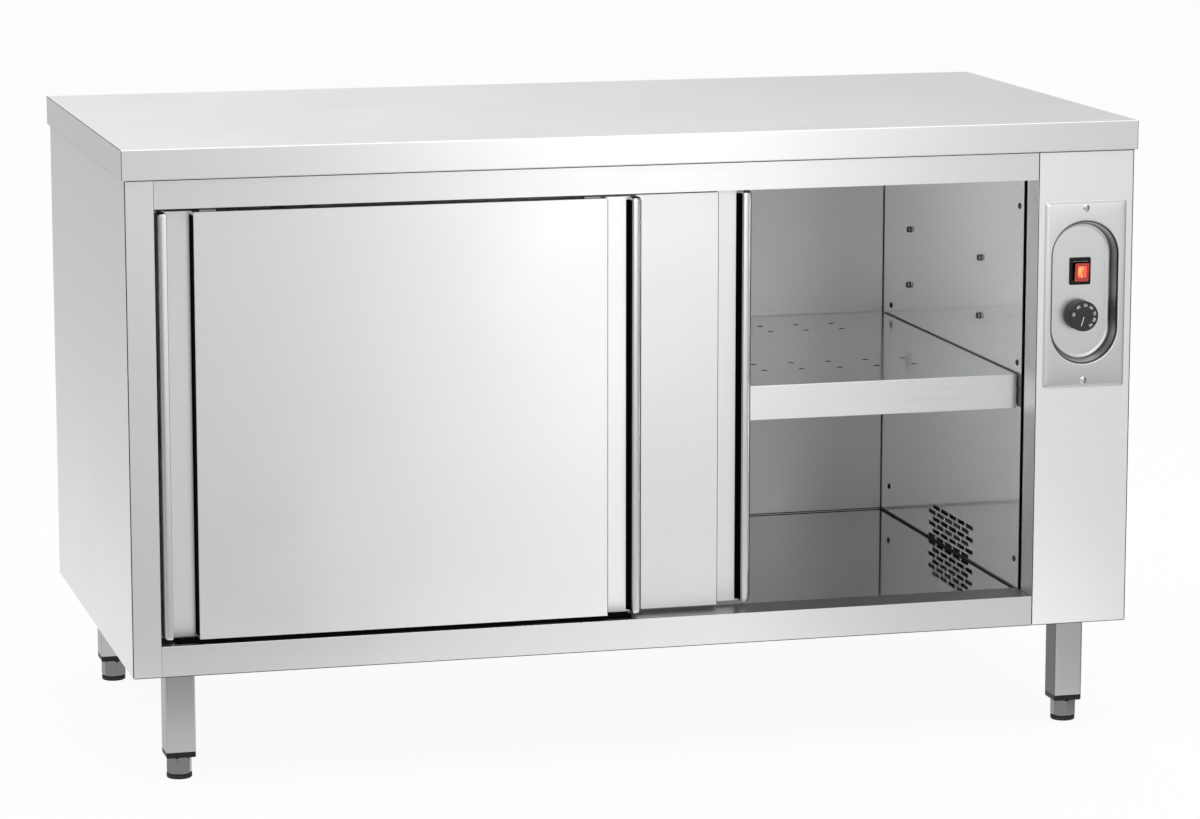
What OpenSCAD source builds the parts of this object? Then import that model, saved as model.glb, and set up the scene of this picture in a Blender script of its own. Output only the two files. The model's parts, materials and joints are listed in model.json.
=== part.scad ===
// Heated plate cupboard: a stainless cabinet on four legs with two sliding doors,
// one lift-out shelf and a fan heater behind the control column.
// Millimetres. X runs to the right, Y to the back, Z up; the floor is Z = 0 and
// the middle of the worktop's outline is X = Y = 0.

/* [Overall] */
// Width of the worktop
top_w = 1400; // [1200:10:1800]
// Depth of the worktop
top_d = 700; // [650:10:850]
// Height of the worktop's surface above the floor
total_h = 850; // [800:5:950]
// Height of the worktop's folded edge
top_t = 40; // [40:1:60]
// Clear height under the body
leg_h = 150; // [120:5:220]
// How far the worktop stands out past the body, all round
overhang = 4; // [3.5:0.5:10]

/* [Body] */
// Thickness of the body's stainless sheet
sheet = 1; // [0.8:0.1:1.2]
// Width of the left front post
post_w = 38; // [36:1:60]
// Width of the control column at the right
column_w = 138; // [134:1:180]
// Height of the rail above the doors
header_h = 38.5; // [38:0.5:50]
// Height of the rail below the doors
rail_h = 40.5; // [38:0.5:60]
// Open slit between a jamb's inward fold and the inner lining
jamb_slit = 12; // [6:1:20]
// Space between the lining's back and the rear panel
rear_gap = 31; // [24:1:50]
// Width of the outward folds on the front edges of posts and lining
fold_w = 16; // [8:1:18]
// Drop from the bottom rail's top to the cabinet floor
floor_drop = 3.5; // [2.5:0.5:8]
// Thickness of the insulation slabs
slab_t = 20; // [15:1:22]
// Open joint between the front's separate panels
joint_gap = 0.3; // [0.1:0.1:1]
// Thickness of the board under the worktop's sheet
core_t = 18; // [12:1:22]
// Thickness of the base pan
pan_t = 1.5; // [1:0.25:2]

/* [Doors] */
// How far the two doors overlap when both are closed
door_overlap = 96; // [70:1:160]
// Thickness of each door
door_t = 24; // [20:0.5:29]
// Distance from the body's front to the front door
door_setback = 3; // [3:0.5:4]
// Gap between the front door's back and the rear door's front
door_gap = 5; // [4:0.5:8]
// Gap between a closed door and its jamb
jamb_gap = 5; // [3:0.5:8]
// Gap between the doors and the rail above
door_top_gap = 5.5; // [4:0.5:8]
// Gap between the doors and the rail below
door_bottom_gap = 6.5; // [6:0.5:8]
// Width of the round grip bar at each end of a door
bar_w = 12; // [10:0.5:15]
// Width of the finger channel beside a grip bar
channel_w = 35; // [28:1:45]
// Space between a finger channel's floor and the door's back, which the guides run in
fin_gap = 3; // [2.5:0.1:6]
// Thickness of the door skins
skin_t = 1; // [0.8:0.1:1]
// How far the right door stands open
right_open = 393; // [0:1:500]
// Distance from a door's end to the middle of its hanger
hanger_inset = 67; // [62:1:100]
// Width of a hanger
hanger_w = 22; // [20:1:30]

/* [Rollers] */
// Outer radius of a roller
roller_r = 8.5; // [7:0.1:10.2]
// Width of a roller
roller_w = 8; // [7:0.5:8]
// Depth of the groove that runs on the rail
groove_d = 1.5; // [1:0.1:1.8]
// Thickness of the rail's running edge
lip_t = 2; // [1.5:0.1:2.5]
// Radius of a roller's axle
axle_r = 2.5; // [2:0.1:3]

/* [Shelf] */
// Distance of the shelf studs' lowest row below the middle of the inside height
stud_drop = 12; // [0:1:40]
// Distance of their highest row below the ceiling
stud_high = 138; // [80:1:160]
// Number of rows of shelf studs
stud_rows = 3; // [1:1:5]
// Radius of a shelf stud
stud_r = 4.75; // [3.5:0.25:5]
// How far a stud stands out from the wall
stud_proud = 6; // [5:0.5:8]
// Distance of the front studs from the lining's front edge
stud_front = 173; // [100:1:200]
// Distance of the rear studs from the lining's back
stud_rear = 123; // [80:1:180]
// Height of the shelf's front lip
lip_h = 48; // [30:1:60]
// Height of the shelf's side folds
shelf_fold_h = 20; // [15:1:30]
// Thickness of the shelf's sheet
shelf_t = 1.2; // [1:0.1:1.5]
// Gap between the shelf and the lining's side walls, which clears the screws' heads
shelf_gap = 3.5; // [3:0.25:4]
// Distance of the shelf's front lip behind the lining's front edge
shelf_setback = 9; // [6:1:30]
// Radius of the holes in the shelf
hole_r = 4.5; // [3:0.5:6]
// Distance between neighbouring holes along the shelf
hole_pitch_x = 55; // [30:1:80]
// Distance from the shelf's front to the front band of holes
front_band = 120; // [60:1:150]
// Distance from the shelf's rear to the rear band of holes
rear_band = 92; // [60:1:150]
// Distance between the two rows of a band of holes
hole_pitch_y = 52; // [30:1:60]

/* [Legs and feet] */
// Width of a square leg tube
leg_w = 40; // [35:1:50]
// Wall of a leg tube
leg_wall = 1.5; // [1:0.25:2.5]
// Distance from the worktop's side edge to a leg's middle
leg_inset_x = 72; // [70:1:74]
// Distance from the worktop's front edge to a leg's middle
leg_inset_y = 60; // [55:1:90]
// Height of a foot's rubber pad
pad_h = 6; // [4:0.5:10]
// Height of a foot's hexagonal cup
cup_h = 24; // [18:1:30]
// Width of the hexagonal cup across its flats
cup_af = 31; // [26:0.5:36]
// Height of the plastic insert that shows under a leg tube
insert_h = 8; // [5:0.5:12]
// Radius of a foot's threaded stem
stem_r = 5; // [4:0.5:6]
// Length of a foot's stem above its cup
stem_l = 62; // [50:1:70]

/* [Controls] */
// Width of the column that shows on each side of the control plate
plate_margin = 10; // [6:0.5:16]
// Height of the control plate
plate_h = 258; // [240:1:300]
// Distance of the control plate's middle below the worktop's edge
plate_drop = 198.5; // [160:0.5:260]
// Thickness of the control plate
plate_t = 1.5; // [1:0.25:1.5]
// Width of the plate on each side of its round-ended dish
dish_side = 12; // [8:0.5:18]
// Height of the plate above the dish
dish_over = 28.5; // [22:0.5:40]
// Height of the plate below the dish
dish_under = 34.5; // [22:0.5:40]
// Depth of the control plate's dish
dish_d = 20; // [16:0.5:24]
// How much the dish narrows on each side towards its floor
dish_draft = 5; // [2:0.5:8]
// Distance of the plate's screws from its upper and lower edges
screw_edge = 9.5; // [7:0.5:12]
// Height of the switch's middle above the plate's middle
switch_dz = 30; // [24:0.5:40]
// Width of the switch's bezel
bezel_w = 31; // [28:0.5:36]
// Height of the switch's bezel
bezel_h = 38; // [32:0.5:46]
// Width of the bezel's rim on each side of the rocker
rim_side = 4; // [3:0.1:6]
// Height of the bezel's rim over and under the rocker
rim_end = 4.7; // [4:0.1:7]
// Tilt of the rocker either way from level
rocker_tilt = 6; // [3:0.5:7]
// Distance of the knob's middle below the plate's middle
knob_dz = 30.5; // [28:0.5:40]
// Radius of the knob
knob_r = 22.5; // [18:0.5:27]
// How far the knob stands out from the dish's floor
knob_h = 20; // [14:0.5:24]
// Radius of the thermostat's shaft
shaft_r = 3; // [2.5:0.25:4]

/* [Heater] */
// Width of the vent in the right wall
vent_w = 210; // [120:1:250]
// Distance of the vent's front edge from the lining's front edge
vent_front = 188; // [150:1:250]
// Number of rows of slots in the vent
vent_rows = 6; // [3:1:8]
// Length of a vent slot
slot_l = 31; // [20:1:40]
// Height of a vent slot
slot_h = 6.2; // [4:0.1:6.5]
// Distance between slots in a row
slot_pitch = 36; // [34:1:50]
// Distance between rows of slots
row_pitch = 9; // [8:0.5:12]
// Radius of the fan's impeller
fan_r = 46; // [30:1:48]
// Radius of the heating tube
heater_r = 4; // [3:0.25:5]
// Radius of the cable gland's hole
gland_bore_r = 4.25; // [3:0.25:5.5]

/* [Hidden] */
$fn = 64;

// Clearances: of a pin in its hole, of a shelf over its studs and of what slides or rolls
fit = 0.05;
seat = 0.25;
run = 0.3;

// The body's outline
body_x0 = overhang - top_w / 2;
body_x1 = top_w / 2 - overhang;
body_y0 = overhang - top_d / 2;
body_y1 = top_d / 2 - overhang;
body_z0 = leg_h;
body_z1 = total_h - top_t;
worktop_t = 1.2;
worktop_return = 25;

// The opening that the doors close
open_x0 = body_x0 + post_w;
open_x1 = body_x1 - column_w;
open_z0 = body_z0 + sheet + rail_h;
open_z1 = body_z1 - header_h;

// The doors' planes; a door's own sizes are counted from its front and its left end
front_y = body_y0 + door_setback;
rear_y = front_y + door_t + door_gap;
back_y = door_t - skin_t;
channel_d = back_y - skin_t - fin_gap;

// The inner lining's inside faces; its front edge stands right behind the rear door
in_y0 = rear_y + door_t;
in_y1 = body_y1 - sheet - rear_gap;
in_z0 = open_z0 - floor_drop;
in_z1 = open_z1 + 0.5;
jamb_y1 = in_y0 - jamb_slit;
flange_w = 20;
pan_z0 = body_z0 + sheet;
pan_z1 = pan_z0 + pan_t;
leg_plate_t = 3;
fold_z = [pan_z1 + leg_plate_t, body_z1];
rail_flange_y1 = in_y0 + 2;
header_flange_y1 = in_y0 + 6;

// The doors
door_w = (open_x1 - open_x0 - 2 * jamb_gap + door_overlap) / 2;
door_z0 = open_z0 + door_bottom_gap;
door_z1 = open_z1 - door_top_gap;
left_x = open_x0 + jamb_gap;
right_x = open_x1 - jamb_gap - door_w - right_open;
panel_x0 = bar_w + channel_w;
panel_x1 = door_w - panel_x0;
bar_r = bar_w / 2;

// The rollers and their rail, counted from a door's front
roller_y = door_t / 2;
track_t = 1.5;
track_z1 = body_z1 - sheet;
track_flange = 14;
groove_r = roller_r - groove_d;
roller_z = track_z1 - track_t - 1.7 - roller_r;
lip_z = roller_z - groove_r - run;
track_z0 = lip_z - 9;
plate_y0 = roller_y + roller_w / 2 + 1;
hanger_t = 2;
hanger_y0 = 6;
hanger_over = 8;
foot_t = 2;

// The guide fins under the doors
fin_y = channel_d + skin_t + fin_gap / 2;
fin_t = fin_gap - 2 * run;
guide_x0 = open_x1 - jamb_gap - door_w + bar_w + 2;
guide_x1 = left_x + door_w - bar_w - 2;
guide_base_h = 4.5;
fin_h = 10;

// The shelf and its studs
stud_z0 = (in_z0 + in_z1) / 2 - stud_drop;
stud_pitch = (in_z1 - stud_high - stud_z0) / max(1, stud_rows - 1);
stud_levels = [for (i = [0 : stud_rows - 1]) stud_z0 + i * stud_pitch];
stud_tail = 2.5;
stud_ys = [in_y0 + stud_front, in_y1 - stud_rear];
shelf_z0 = stud_levels[0] + stud_r + seat;
shelf_z1 = shelf_z0 + shelf_fold_h;
shelf_x0 = open_x0 + shelf_gap;
shelf_x1 = open_x1 - shelf_gap;
shelf_y0 = in_y0 + shelf_setback;
shelf_y1 = in_y1 - 2;
fold_in = 16;
hole_rows_y = [
    shelf_y0 + front_band, shelf_y0 + front_band + hole_pitch_y,
    shelf_y1 - rear_band - hole_pitch_y, shelf_y1 - rear_band
];
hole_count = floor((shelf_x1 - shelf_x0) / 2 / hole_pitch_x) - 1;
hole_mid_x = (shelf_x0 + shelf_x1) / 2;

// Screws in the lining and in the rear panel
screw_head_r = 4.75;
screw_head_h = 2.6;
screw_r = 2;
wall_screw_ys = [in_y0 + 17, in_y1 - 39];
wall_screw_zs = [in_z0 + 42, stud_levels[0] + 40, in_z1 - 45];
rear_screw_x = body_x1 - 11;
rear_screw_zs = [body_z0 + 25, (body_z0 + body_z1) / 2, body_z1 - 25];

// The legs
leg_xs = [leg_inset_x - top_w / 2, top_w / 2 - leg_inset_x];
leg_ys = [leg_inset_y - top_d / 2, top_d / 2 - leg_inset_y];
cup_z0 = pad_h;
insert_z0 = cup_z0 + cup_h;
tube_z0 = insert_z0 + insert_h;
leg_plate_w = leg_w + 16;
plug_h = 24;
FRONT = 0;
REAR = 1;
LEFT = 0;
RIGHT = 1;

// The controls
column_x = (open_x1 + body_x1) / 2;
plate_w = column_w - 2 * plate_margin;
plate_z = body_z1 - plate_drop;
screw_dz = plate_h / 2 - screw_edge;
plate_y = body_y0 - plate_t;
dish_w = plate_w - 2 * dish_side;
dish_h = plate_h - dish_over - dish_under;
dish_y = plate_y + dish_d;
dish_back_y = dish_y + sheet;
dish_r = dish_w / 2;
dish_floor_r = dish_r - dish_draft;
dish_mid_z = plate_z + (dish_under - dish_over) / 2;
dish_spine = dish_h / 2 - dish_r;
switch_z = plate_z + switch_dz;
knob_z = plate_z - knob_dz;
switch_w = bezel_w - 5;
switch_h = bezel_h - 4;
rocker_w = bezel_w - 2 * rim_side;
rocker_h = bezel_h - 2 * rim_end;
bezel_t = 2;
switch_deep = 24;
rocker_y = dish_y + 1.5;
rocker_front = 10.5;
rocker_back = 2;
rocker_dip = 1.2;
pin_r = 1.5;
pin_l = 1;
well_side = 0.3;
well_end = 0.9;
thermostat_w = 44;
thermostat_h = 36;
thermostat_d = 28;
shaft_y1 = dish_back_y + 16;

// The heater in the control column
wall_x = open_x1 + sheet;
vent_y0 = in_y0 + vent_front;
vent_mid_y = vent_y0 + vent_w / 2;
vent_z0 = in_z0 + 2;
motor_r = 30;
motor_l = 44;
housing_x1 = body_x1 - sheet - 12 - motor_l;
housing_y0 = vent_y0 - 20;
housing_y1 = vent_y0 + vent_w + 20;
housing_z0 = in_z0;
housing_z1 = in_z0 + 158;
fan_z = housing_z1 - fan_r - 12;
fan_w = 30;
fan_x0 = housing_x1 - sheet - 21 - fan_w;
blades = 12;
boss_r = 8;
heater_x = wall_x + 13;
heater_bend = 9;
heater_z = in_z0 + 16;
louvres = 8;
louvre_h = 5;
louvre_pitch = 14;
louvre_z = body_z1 - 160;
gland_x = column_x;
gland_y = leg_ys[REAR] - leg_plate_w / 2 - 30;
gland_r = 10;
gland_l = 20;
terminal_w = 64;
terminal_y = [gland_y - 70, gland_y - 48];
terminal_h = 20;
terminal_pitch = 12;

// ---- shared shapes ----

// A plain block between two corners, given as [low, high] along each axis
module block(x, y, z) {
    translate([x[0], y[0], z[0]]) cube([x[1] - x[0], y[1] - y[0], z[1] - z[0]]);
}

// A round bar along X
module bar_x(r, x0, x1, y, z) {
    translate([x0, y, z]) rotate([0, 90, 0]) cylinder(r = r, h = x1 - x0);
}

// A round bar along Y
module bar_y(r, x, y0, y1, z) {
    translate([x, y0, z]) rotate([-90, 0, 0]) cylinder(r = r, h = y1 - y0);
}

// A flat shape with rounded corners
module round_rect(w, h, r) {
    square([w - 2 * r, h], center = true);
    square([w, h - 2 * r], center = true);
    for (sx = [-1, 1], sz = [-1, 1])
        translate([sx * (w / 2 - r), sz * (h / 2 - r)]) circle(r = r);
}

// Stands a flat X-Z drawing up, from y0 back to y1
module upright(x, y0, y1, z) {
    translate([x, y1, z]) rotate([90, 0, 0]) linear_extrude(y1 - y0) children();
}

// A flat outline with two round ends, upright in Z
module stadium(r, spine) {
    square([2 * r, 2 * spine], center = true);
    for (s = [-1, 1]) translate([0, s * spine]) circle(r = r);
}

// A low domed screw whose head rests at the origin and points along +Z
module domed_screw(head_r, head_h, shank_r, shank_l) {
    ball_r = (head_r * head_r + head_h * head_h) / (2 * head_h);
    intersection() {
        translate([0, 0, head_h - ball_r]) sphere(r = ball_r);
        cylinder(r = head_r, h = head_h);
    }
    translate([0, 0, -shank_l]) cylinder(r = shank_r, h = shank_l + head_h / 4);
}

// ---- worktop ----

// The folded stainless skin: a top, four edges and a narrow return underneath
module worktop() color("gainsboro") {
    x = top_w / 2;
    y = top_d / 2;
    difference() {
        block([-x, x], [-y, y], [body_z1, total_h]);
        block([worktop_t - x, x - worktop_t], [worktop_t - y, y - worktop_t],
              [body_z1 + worktop_t, total_h - worktop_t]);
        block([worktop_return - x, x - worktop_return], [worktop_return - y, y - worktop_return],
              [body_z1 - 1, total_h - worktop_t - 1]);
    }
}

// The board glued under the skin
module worktop_core() color("burlywood") {
    x = top_w / 2 - worktop_t - run;
    y = top_d / 2 - worktop_t - run;
    block([-x, x], [-y, y], [total_h - worktop_t - core_t, total_h - worktop_t]);
}

// ---- outer body ----

// The left side, which also folds round to make the front post and its jamb
module side_left() color("silver") {
    x = body_x0;
    z = [body_z0, body_z1];
    difference() {
        union() {
            block([x, x + sheet], [body_y0, body_y1 - sheet], z);
            block([x, open_x0], [body_y0, body_y0 + sheet], z);
            block([open_x0 - sheet, open_x0], [body_y0, jamb_y1], fold_z);
            block([open_x0 - fold_w, open_x0], [jamb_y1 - sheet, jamb_y1], fold_z);
            block([x, x + flange_w], [body_y1 - 2 * sheet, body_y1 - sheet], z);
            side_flanges([x + sheet, x + flange_w]);
        }
        rear_screw_holes();
    }
}

// The right side, behind the control column's front
module side_right() color("silver") {
    x = body_x1;
    z = [body_z0, body_z1];
    difference() {
        union() {
            block([x - sheet, x], [body_y0 + sheet, body_y1 - sheet], z);
            block([x - flange_w, x], [body_y0 + sheet, body_y0 + 2 * sheet], fold_z);
            block([x - flange_w, x], [body_y1 - 2 * sheet, body_y1 - sheet], z);
            side_flanges([x - flange_w, x - sheet]);
        }
        rear_screw_holes();
    }
}

// The folds along the top and bottom edges of a side
module side_flanges(x) {
    y = [body_y0 + 2 * sheet, body_y1 - 2 * sheet];
    block(x, y, [body_z0, body_z0 + sheet]);
    block(x, y, [body_z1 - sheet, body_z1]);
}

// The front of the control column, with the opening behind the control plate
module control_column() color("gainsboro") {
    z = [body_z0, body_z1];
    flange_x = [open_x1 + sheet, body_x1 - flange_w - 1];
    flange_y = [body_y0 + sheet, body_y0 + 25];
    difference() {
        union() {
            block([open_x1, body_x1], [body_y0, body_y0 + sheet], z);
            block([open_x1, open_x1 + sheet], [body_y0, jamb_y1], fold_z);
            block([open_x1, open_x1 + fold_w], [jamb_y1 - sheet, jamb_y1], fold_z);
            block(flange_x, flange_y, [body_z0, body_z0 + sheet]);
            block(flange_x, flange_y, [body_z1 - sheet, body_z1]);
        }
        upright(column_x, body_y0 - 1, body_y0 + sheet + 1, dish_mid_z)
            stadium(dish_r + 2, dish_spine);
        plate_screw_holes();
    }
}

// Rear panel with a group of cooling slots behind the control column
module rear_panel() color("silver") {
    difference() {
        block([body_x0, body_x1], [body_y1 - sheet, body_y1], [body_z0, body_z1]);
        for (i = [0 : louvres - 1])
            upright(column_x, body_y1 - sheet - 1, body_y1 + 1, louvre_z - i * louvre_pitch)
                round_rect(column_w - 58, louvre_h, 2.4);
        rear_screw_holes();
    }
}

// Holes for the screws that hold the rear panel to the sides
module rear_screw_holes() {
    for (s = [-1, 1], z = rear_screw_zs)
        bar_y(screw_r + fit, s * rear_screw_x, body_y1 - 3 * sheet, body_y1 + 1, z);
}

// Base pan, lying on the sides' bottom folds, with holes for the legs and the gland
module base_pan() color("darkgray") {
    x = [body_x0 + sheet, body_x1 - sheet];
    y = [body_y0 + sheet, body_y1 - 2 * sheet];
    hole = leg_w / 2 + 0.2;
    difference() {
        union() {
            block(x, y, [pan_z0, pan_z1]);
            block(x, [y[1] - sheet, y[1]], [pan_z0, pan_z1 + 18]);
        }
        for (lx = leg_xs, ly = leg_ys)
            block([lx - hole, lx + hole], [ly - hole, ly + hole], [pan_z0 - 1, pan_z1 + 1]);
        translate([gland_x, gland_y, pan_z0 - 1]) cylinder(r = gland_r + fit, h = pan_t + 2);
    }
}

// The rail over the doors: a face with a hem, and a fold that carries the track
module header_rail() color("gainsboro") {
    x = [open_x0 + joint_gap, open_x1 - joint_gap];
    block(x, [body_y0, body_y0 + sheet], [open_z1, body_z1]);
    block(x, [body_y0, body_y0 + 2 * sheet], [open_z1, open_z1 + 12]);
    block(x, [body_y0, header_flange_y1], [body_z1 - sheet, body_z1]);
}

// The rail under the doors: a face, and folds above and below it
module bottom_rail() color("gainsboro") {
    x = [open_x0 + joint_gap, open_x1 - joint_gap];
    block(x, [body_y0, body_y0 + sheet], [pan_z0, open_z0]);
    block(x, [body_y0, rail_flange_y1], [open_z0 - sheet, open_z0]);
    block(x, [body_y0 + sheet, leg_ys[FRONT] - leg_plate_w / 2 - 1], [pan_z1, pan_z1 + sheet]);
}

// ---- inner lining ----

// A side wall of the lining; side is -1 at the left and +1 at the right
module liner_wall(side) {
    face_x = side < 0 ? open_x0 : open_x1;
    x = side < 0 ? [face_x - sheet, face_x] : [face_x, face_x + sheet];
    fold_x = side < 0 ? [face_x - fold_w, face_x] : [face_x, face_x + fold_w];
    difference() {
        union() {
            block(x, [in_y0, in_y1 + sheet], [in_z0 - sheet, in_z1 + sheet]);
            block(fold_x, [in_y0, in_y0 + sheet], [in_z0 - sheet, in_z1 + sheet]);
        }
        for (y = wall_screw_ys, z = wall_screw_zs)
            bar_x(screw_r + fit, x[0] - 1, x[1] + 1, y, z);
        for (y = stud_ys, z = stud_levels)
            bar_x(stud_r / 2 + fit, x[0] - 1, x[1] + 1, y, z);
    }
}

module liner_left() color("darkgray") liner_wall(-1);

// The right wall, with the brick-bond vent in front of the heater
module liner_right() color("darkgray") {
    difference() {
        liner_wall(1);
        for (row = [0 : vent_rows - 1]) vent_row(row);
    }
}

// One row of vent slots; every second row is moved along by half a slot
module vent_row(row) {
    shift = row % 2 == 0 ? 0 : slot_pitch / 2;
    z = vent_z0 + (vent_rows - 1 - row) * row_pitch;
    for (i = [0 : floor((vent_w - shift - slot_l) / slot_pitch)]) {
        y = vent_y0 + shift + i * slot_pitch;
        block([open_x1 - 1, wall_x + 1], [y, y + slot_l], [z, z + slot_h]);
    }
}

module liner_rear() color("gray") {
    block([open_x0, open_x1], [in_y1, in_y1 + sheet], [in_z0 - sheet, in_z1 + sheet]);
}

// The ceiling, whose front fold reaches up to the header's fold
module liner_ceiling() color("gray") {
    block([open_x0, open_x1], [in_y0, in_y1], [in_z1, in_z1 + sheet]);
    block([open_x0, open_x1], [in_y0, in_y0 + sheet], [in_z1, track_z1]);
}

// The cabinet floor, with a small front lip under the bottom rail's fold
module liner_floor() color("dimgray") {
    block([open_x0, open_x1], [in_y0, in_y1], [in_z0 - sheet, in_z0]);
    block([open_x0, open_x1], [in_y0, in_y0 + sheet], [in_z0, open_z0 - sheet]);
}

// Slabs on the left side, at the rear, over the ceiling and on the base pan
module insulation() color("khaki") {
    left_x1 = body_x0 + sheet + slab_t;
    z = [pan_z1 + 20, body_z1 - sheet - 1];
    rear_slab_y = [body_y1 - sheet - slab_t, body_y1 - sheet];
    leg_clear = leg_xs[LEFT] + leg_plate_w / 2 + 3;
    block([body_x0 + sheet, left_x1 - sheet], [in_y0 + sheet + 1, body_y1 - 12], z);
    block([left_x1 + 1, open_x1 - 60], rear_slab_y, z);
    block([open_x0 + 1, open_x1 - 1], [in_y0 + 2, in_y1 - 1], [in_z1 + sheet, in_z1 + sheet + slab_t]);
    block([leg_clear, open_x1 - 1], [in_y0 + 2, in_y1 - 1], [pan_z1, pan_z1 + slab_t]);
}

// ---- door track and guides ----

// Two rails under the header, each a hanging fold with an upturned running edge
module door_track() color("gray") {
    for (y = [front_y, rear_y]) track_rail(y);
}

module track_rail(y) {
    x = [open_x0 + joint_gap, open_x1 - joint_gap];
    web_y = y - 1;
    lip_y0 = y + roller_y - lip_t / 2;
    block(x, [web_y, web_y + track_t], [track_z0, track_z1]);
    block(x, [web_y, lip_y0 + lip_t], [track_z0, track_z0 + track_t]);
    block(x, [lip_y0, lip_y0 + lip_t], [track_z0, lip_z]);
    block(x, [web_y, web_y + track_flange], [track_z1 - track_t, track_z1]);
}

// Plastic guides on the bottom rail; a fin on each runs inside the door above it
module floor_guides() color("#202020") {
    for (y = [front_y, rear_y]) {
        block([guide_x0, guide_x1], [y + fin_y - 12, y + fin_y + 2.3],
              [open_z0, open_z0 + guide_base_h]);
        block([guide_x0, guide_x1], [y + fin_y - fin_t / 2, y + fin_y + fin_t / 2],
              [open_z0, door_z0 + fin_h]);
    }
}

// ---- fasteners and studs ----

module case_screws() color("whitesmoke") {
    for (y = wall_screw_ys, z = wall_screw_zs) {
        translate([open_x0, y, z]) rotate([0, 90, 0])
            domed_screw(screw_head_r, screw_head_h, screw_r, 9);
        translate([open_x1, y, z]) rotate([0, -90, 0])
            domed_screw(screw_head_r, screw_head_h, screw_r, 9);
    }
    for (s = [-1, 1], z = rear_screw_zs)
        translate([s * rear_screw_x, body_y1, z]) rotate([-90, 0, 0])
            domed_screw(screw_head_r, screw_head_h, screw_r, 7);
}

// Round studs on both side walls: three rows of two, riveted through the lining
module shelf_studs() color("whitesmoke") {
    for (y = stud_ys, z = stud_levels) {
        stud(open_x0, 1, y, z);
        stud(open_x1, -1, y, z);
    }
}

// One stud; way is +1 where it points to +X
module stud(x, way, y, z) {
    translate([x, y, z]) rotate([0, way * 90, 0]) {
        cylinder(r = stud_r, h = stud_proud);
        translate([0, 0, -sheet - 1]) cylinder(r = stud_r / 2, h = sheet + 2);
        translate([0, 0, -sheet - stud_tail]) cylinder(r = stud_r - 1, h = stud_tail);
    }
}

// ---- shelf ----

// The shelf: one folded sheet with a deep front lip, two side folds and a rear fold
module shelf() color("lightgray") {
    x = [shelf_x0, shelf_x1];
    y = [shelf_y0, shelf_y1];
    side_z = [shelf_z0, shelf_z1];
    difference() {
        union() {
            block(x, y, [shelf_z1 - shelf_t, shelf_z1]);
            block(x, [y[0], y[0] + shelf_t], [shelf_z1 - lip_h, shelf_z1]);
            block(x, [y[0], y[0] + fold_in], [shelf_z1 - lip_h, shelf_z1 - lip_h + shelf_t]);
            block(x, [y[1] - shelf_t, y[1]], side_z);
            block([x[0], x[0] + shelf_t], y, side_z);
            block([x[1] - shelf_t, x[1]], y, side_z);
            block([x[0], x[0] + fold_in], y, [shelf_z0, shelf_z0 + shelf_t]);
            block([x[1] - fold_in, x[1]], y, [shelf_z0, shelf_z0 + shelf_t]);
        }
        for (hy = hole_rows_y, i = [-hole_count : hole_count])
            translate([hole_mid_x + i * hole_pitch_x, hy, shelf_z1 - 2 * shelf_t])
                cylinder(r = hole_r, h = 3 * shelf_t, $fn = 24);
    }
}

// ---- legs and feet ----

// Four square tubes, each welded to a plate that lies on the base pan
module leg_tubes() color("darkgray") {
    inner = leg_w / 2 - leg_wall;
    for (x = leg_xs, y = leg_ys)
        translate([x, y, 0]) difference() {
            union() {
                block([-leg_w / 2, leg_w / 2], [-leg_w / 2, leg_w / 2], [tube_z0, pan_z1 + 1]);
                block([-leg_plate_w / 2, leg_plate_w / 2], [-leg_plate_w / 2, leg_plate_w / 2],
                      [pan_z1, pan_z1 + leg_plate_t]);
            }
            block([-inner, inner], [-inner, inner], [tube_z0 - 1, pan_z1]);
        }
}

// Plastic inserts in the tubes' lower ends, bored for the feet
module leg_inserts() color("#181818") {
    inner = leg_w / 2 - leg_wall - 0.2;
    for (x = leg_xs, y = leg_ys)
        translate([x, y, 0]) difference() {
            union() {
                block([-leg_w / 2, leg_w / 2], [-leg_w / 2, leg_w / 2], [insert_z0, tube_z0]);
                block([-inner, inner], [-inner, inner], [insert_z0, tube_z0 + plug_h]);
            }
            translate([0, 0, insert_z0 - 1])
                cylinder(r = stem_r + fit, h = insert_h + plug_h + 2);
        }
}

// One foot: a hexagonal cup, turned by its own angle, with a round stem above
module foot(side, row, turn) {
    translate([leg_xs[side], leg_ys[row], 0]) rotate(turn) {
        translate([0, 0, cup_z0]) cylinder(r = cup_af / sqrt(3), h = cup_h, $fn = 6);
        translate([0, 0, cup_z0]) cylinder(r = stem_r, h = cup_h + stem_l);
    }
}

// The pad under a foot, with its floor edge eased
module pad(side, row) {
    r = cup_af / 2 + 1.5;
    translate([leg_xs[side], leg_ys[row], 0]) rotate_extrude()
        polygon([[0, 0], [r - 1, 0], [r, 1], [r, pad_h], [0, pad_h]]);
}

module foot_front_left() color("silver") foot(LEFT, FRONT, 12);
module foot_front_right() color("silver") foot(RIGHT, FRONT, 28);
module foot_rear_left() color("silver") foot(LEFT, REAR, 40);
module foot_rear_right() color("silver") foot(RIGHT, REAR, 5);
module pad_front_left() color("#181818") pad(LEFT, FRONT);
module pad_front_right() color("#181818") pad(RIGHT, FRONT);
module pad_rear_left() color("#181818") pad(LEFT, REAR);
module pad_rear_right() color("#181818") pad(RIGHT, REAR);

// ---- controls ----

// Holes for the two screws through the plate and the column's front
module plate_screw_holes() {
    for (s = [-1, 1])
        bar_y(screw_r + fit, column_x, plate_y - 1, body_y0 + 2 * sheet, plate_z + s * screw_dz);
}

// The dish's sloping wall in section: x is the distance from the dish's spine
// and y the depth behind the plate's face
module dish_section() {
    polygon([
        [dish_r, 0], [dish_r + sheet, plate_t], [dish_floor_r + sheet, dish_d + sheet],
        [dish_floor_r - 1, dish_d + sheet], [dish_floor_r - 1, dish_d], [dish_floor_r, dish_d]
    ]);
}

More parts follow.
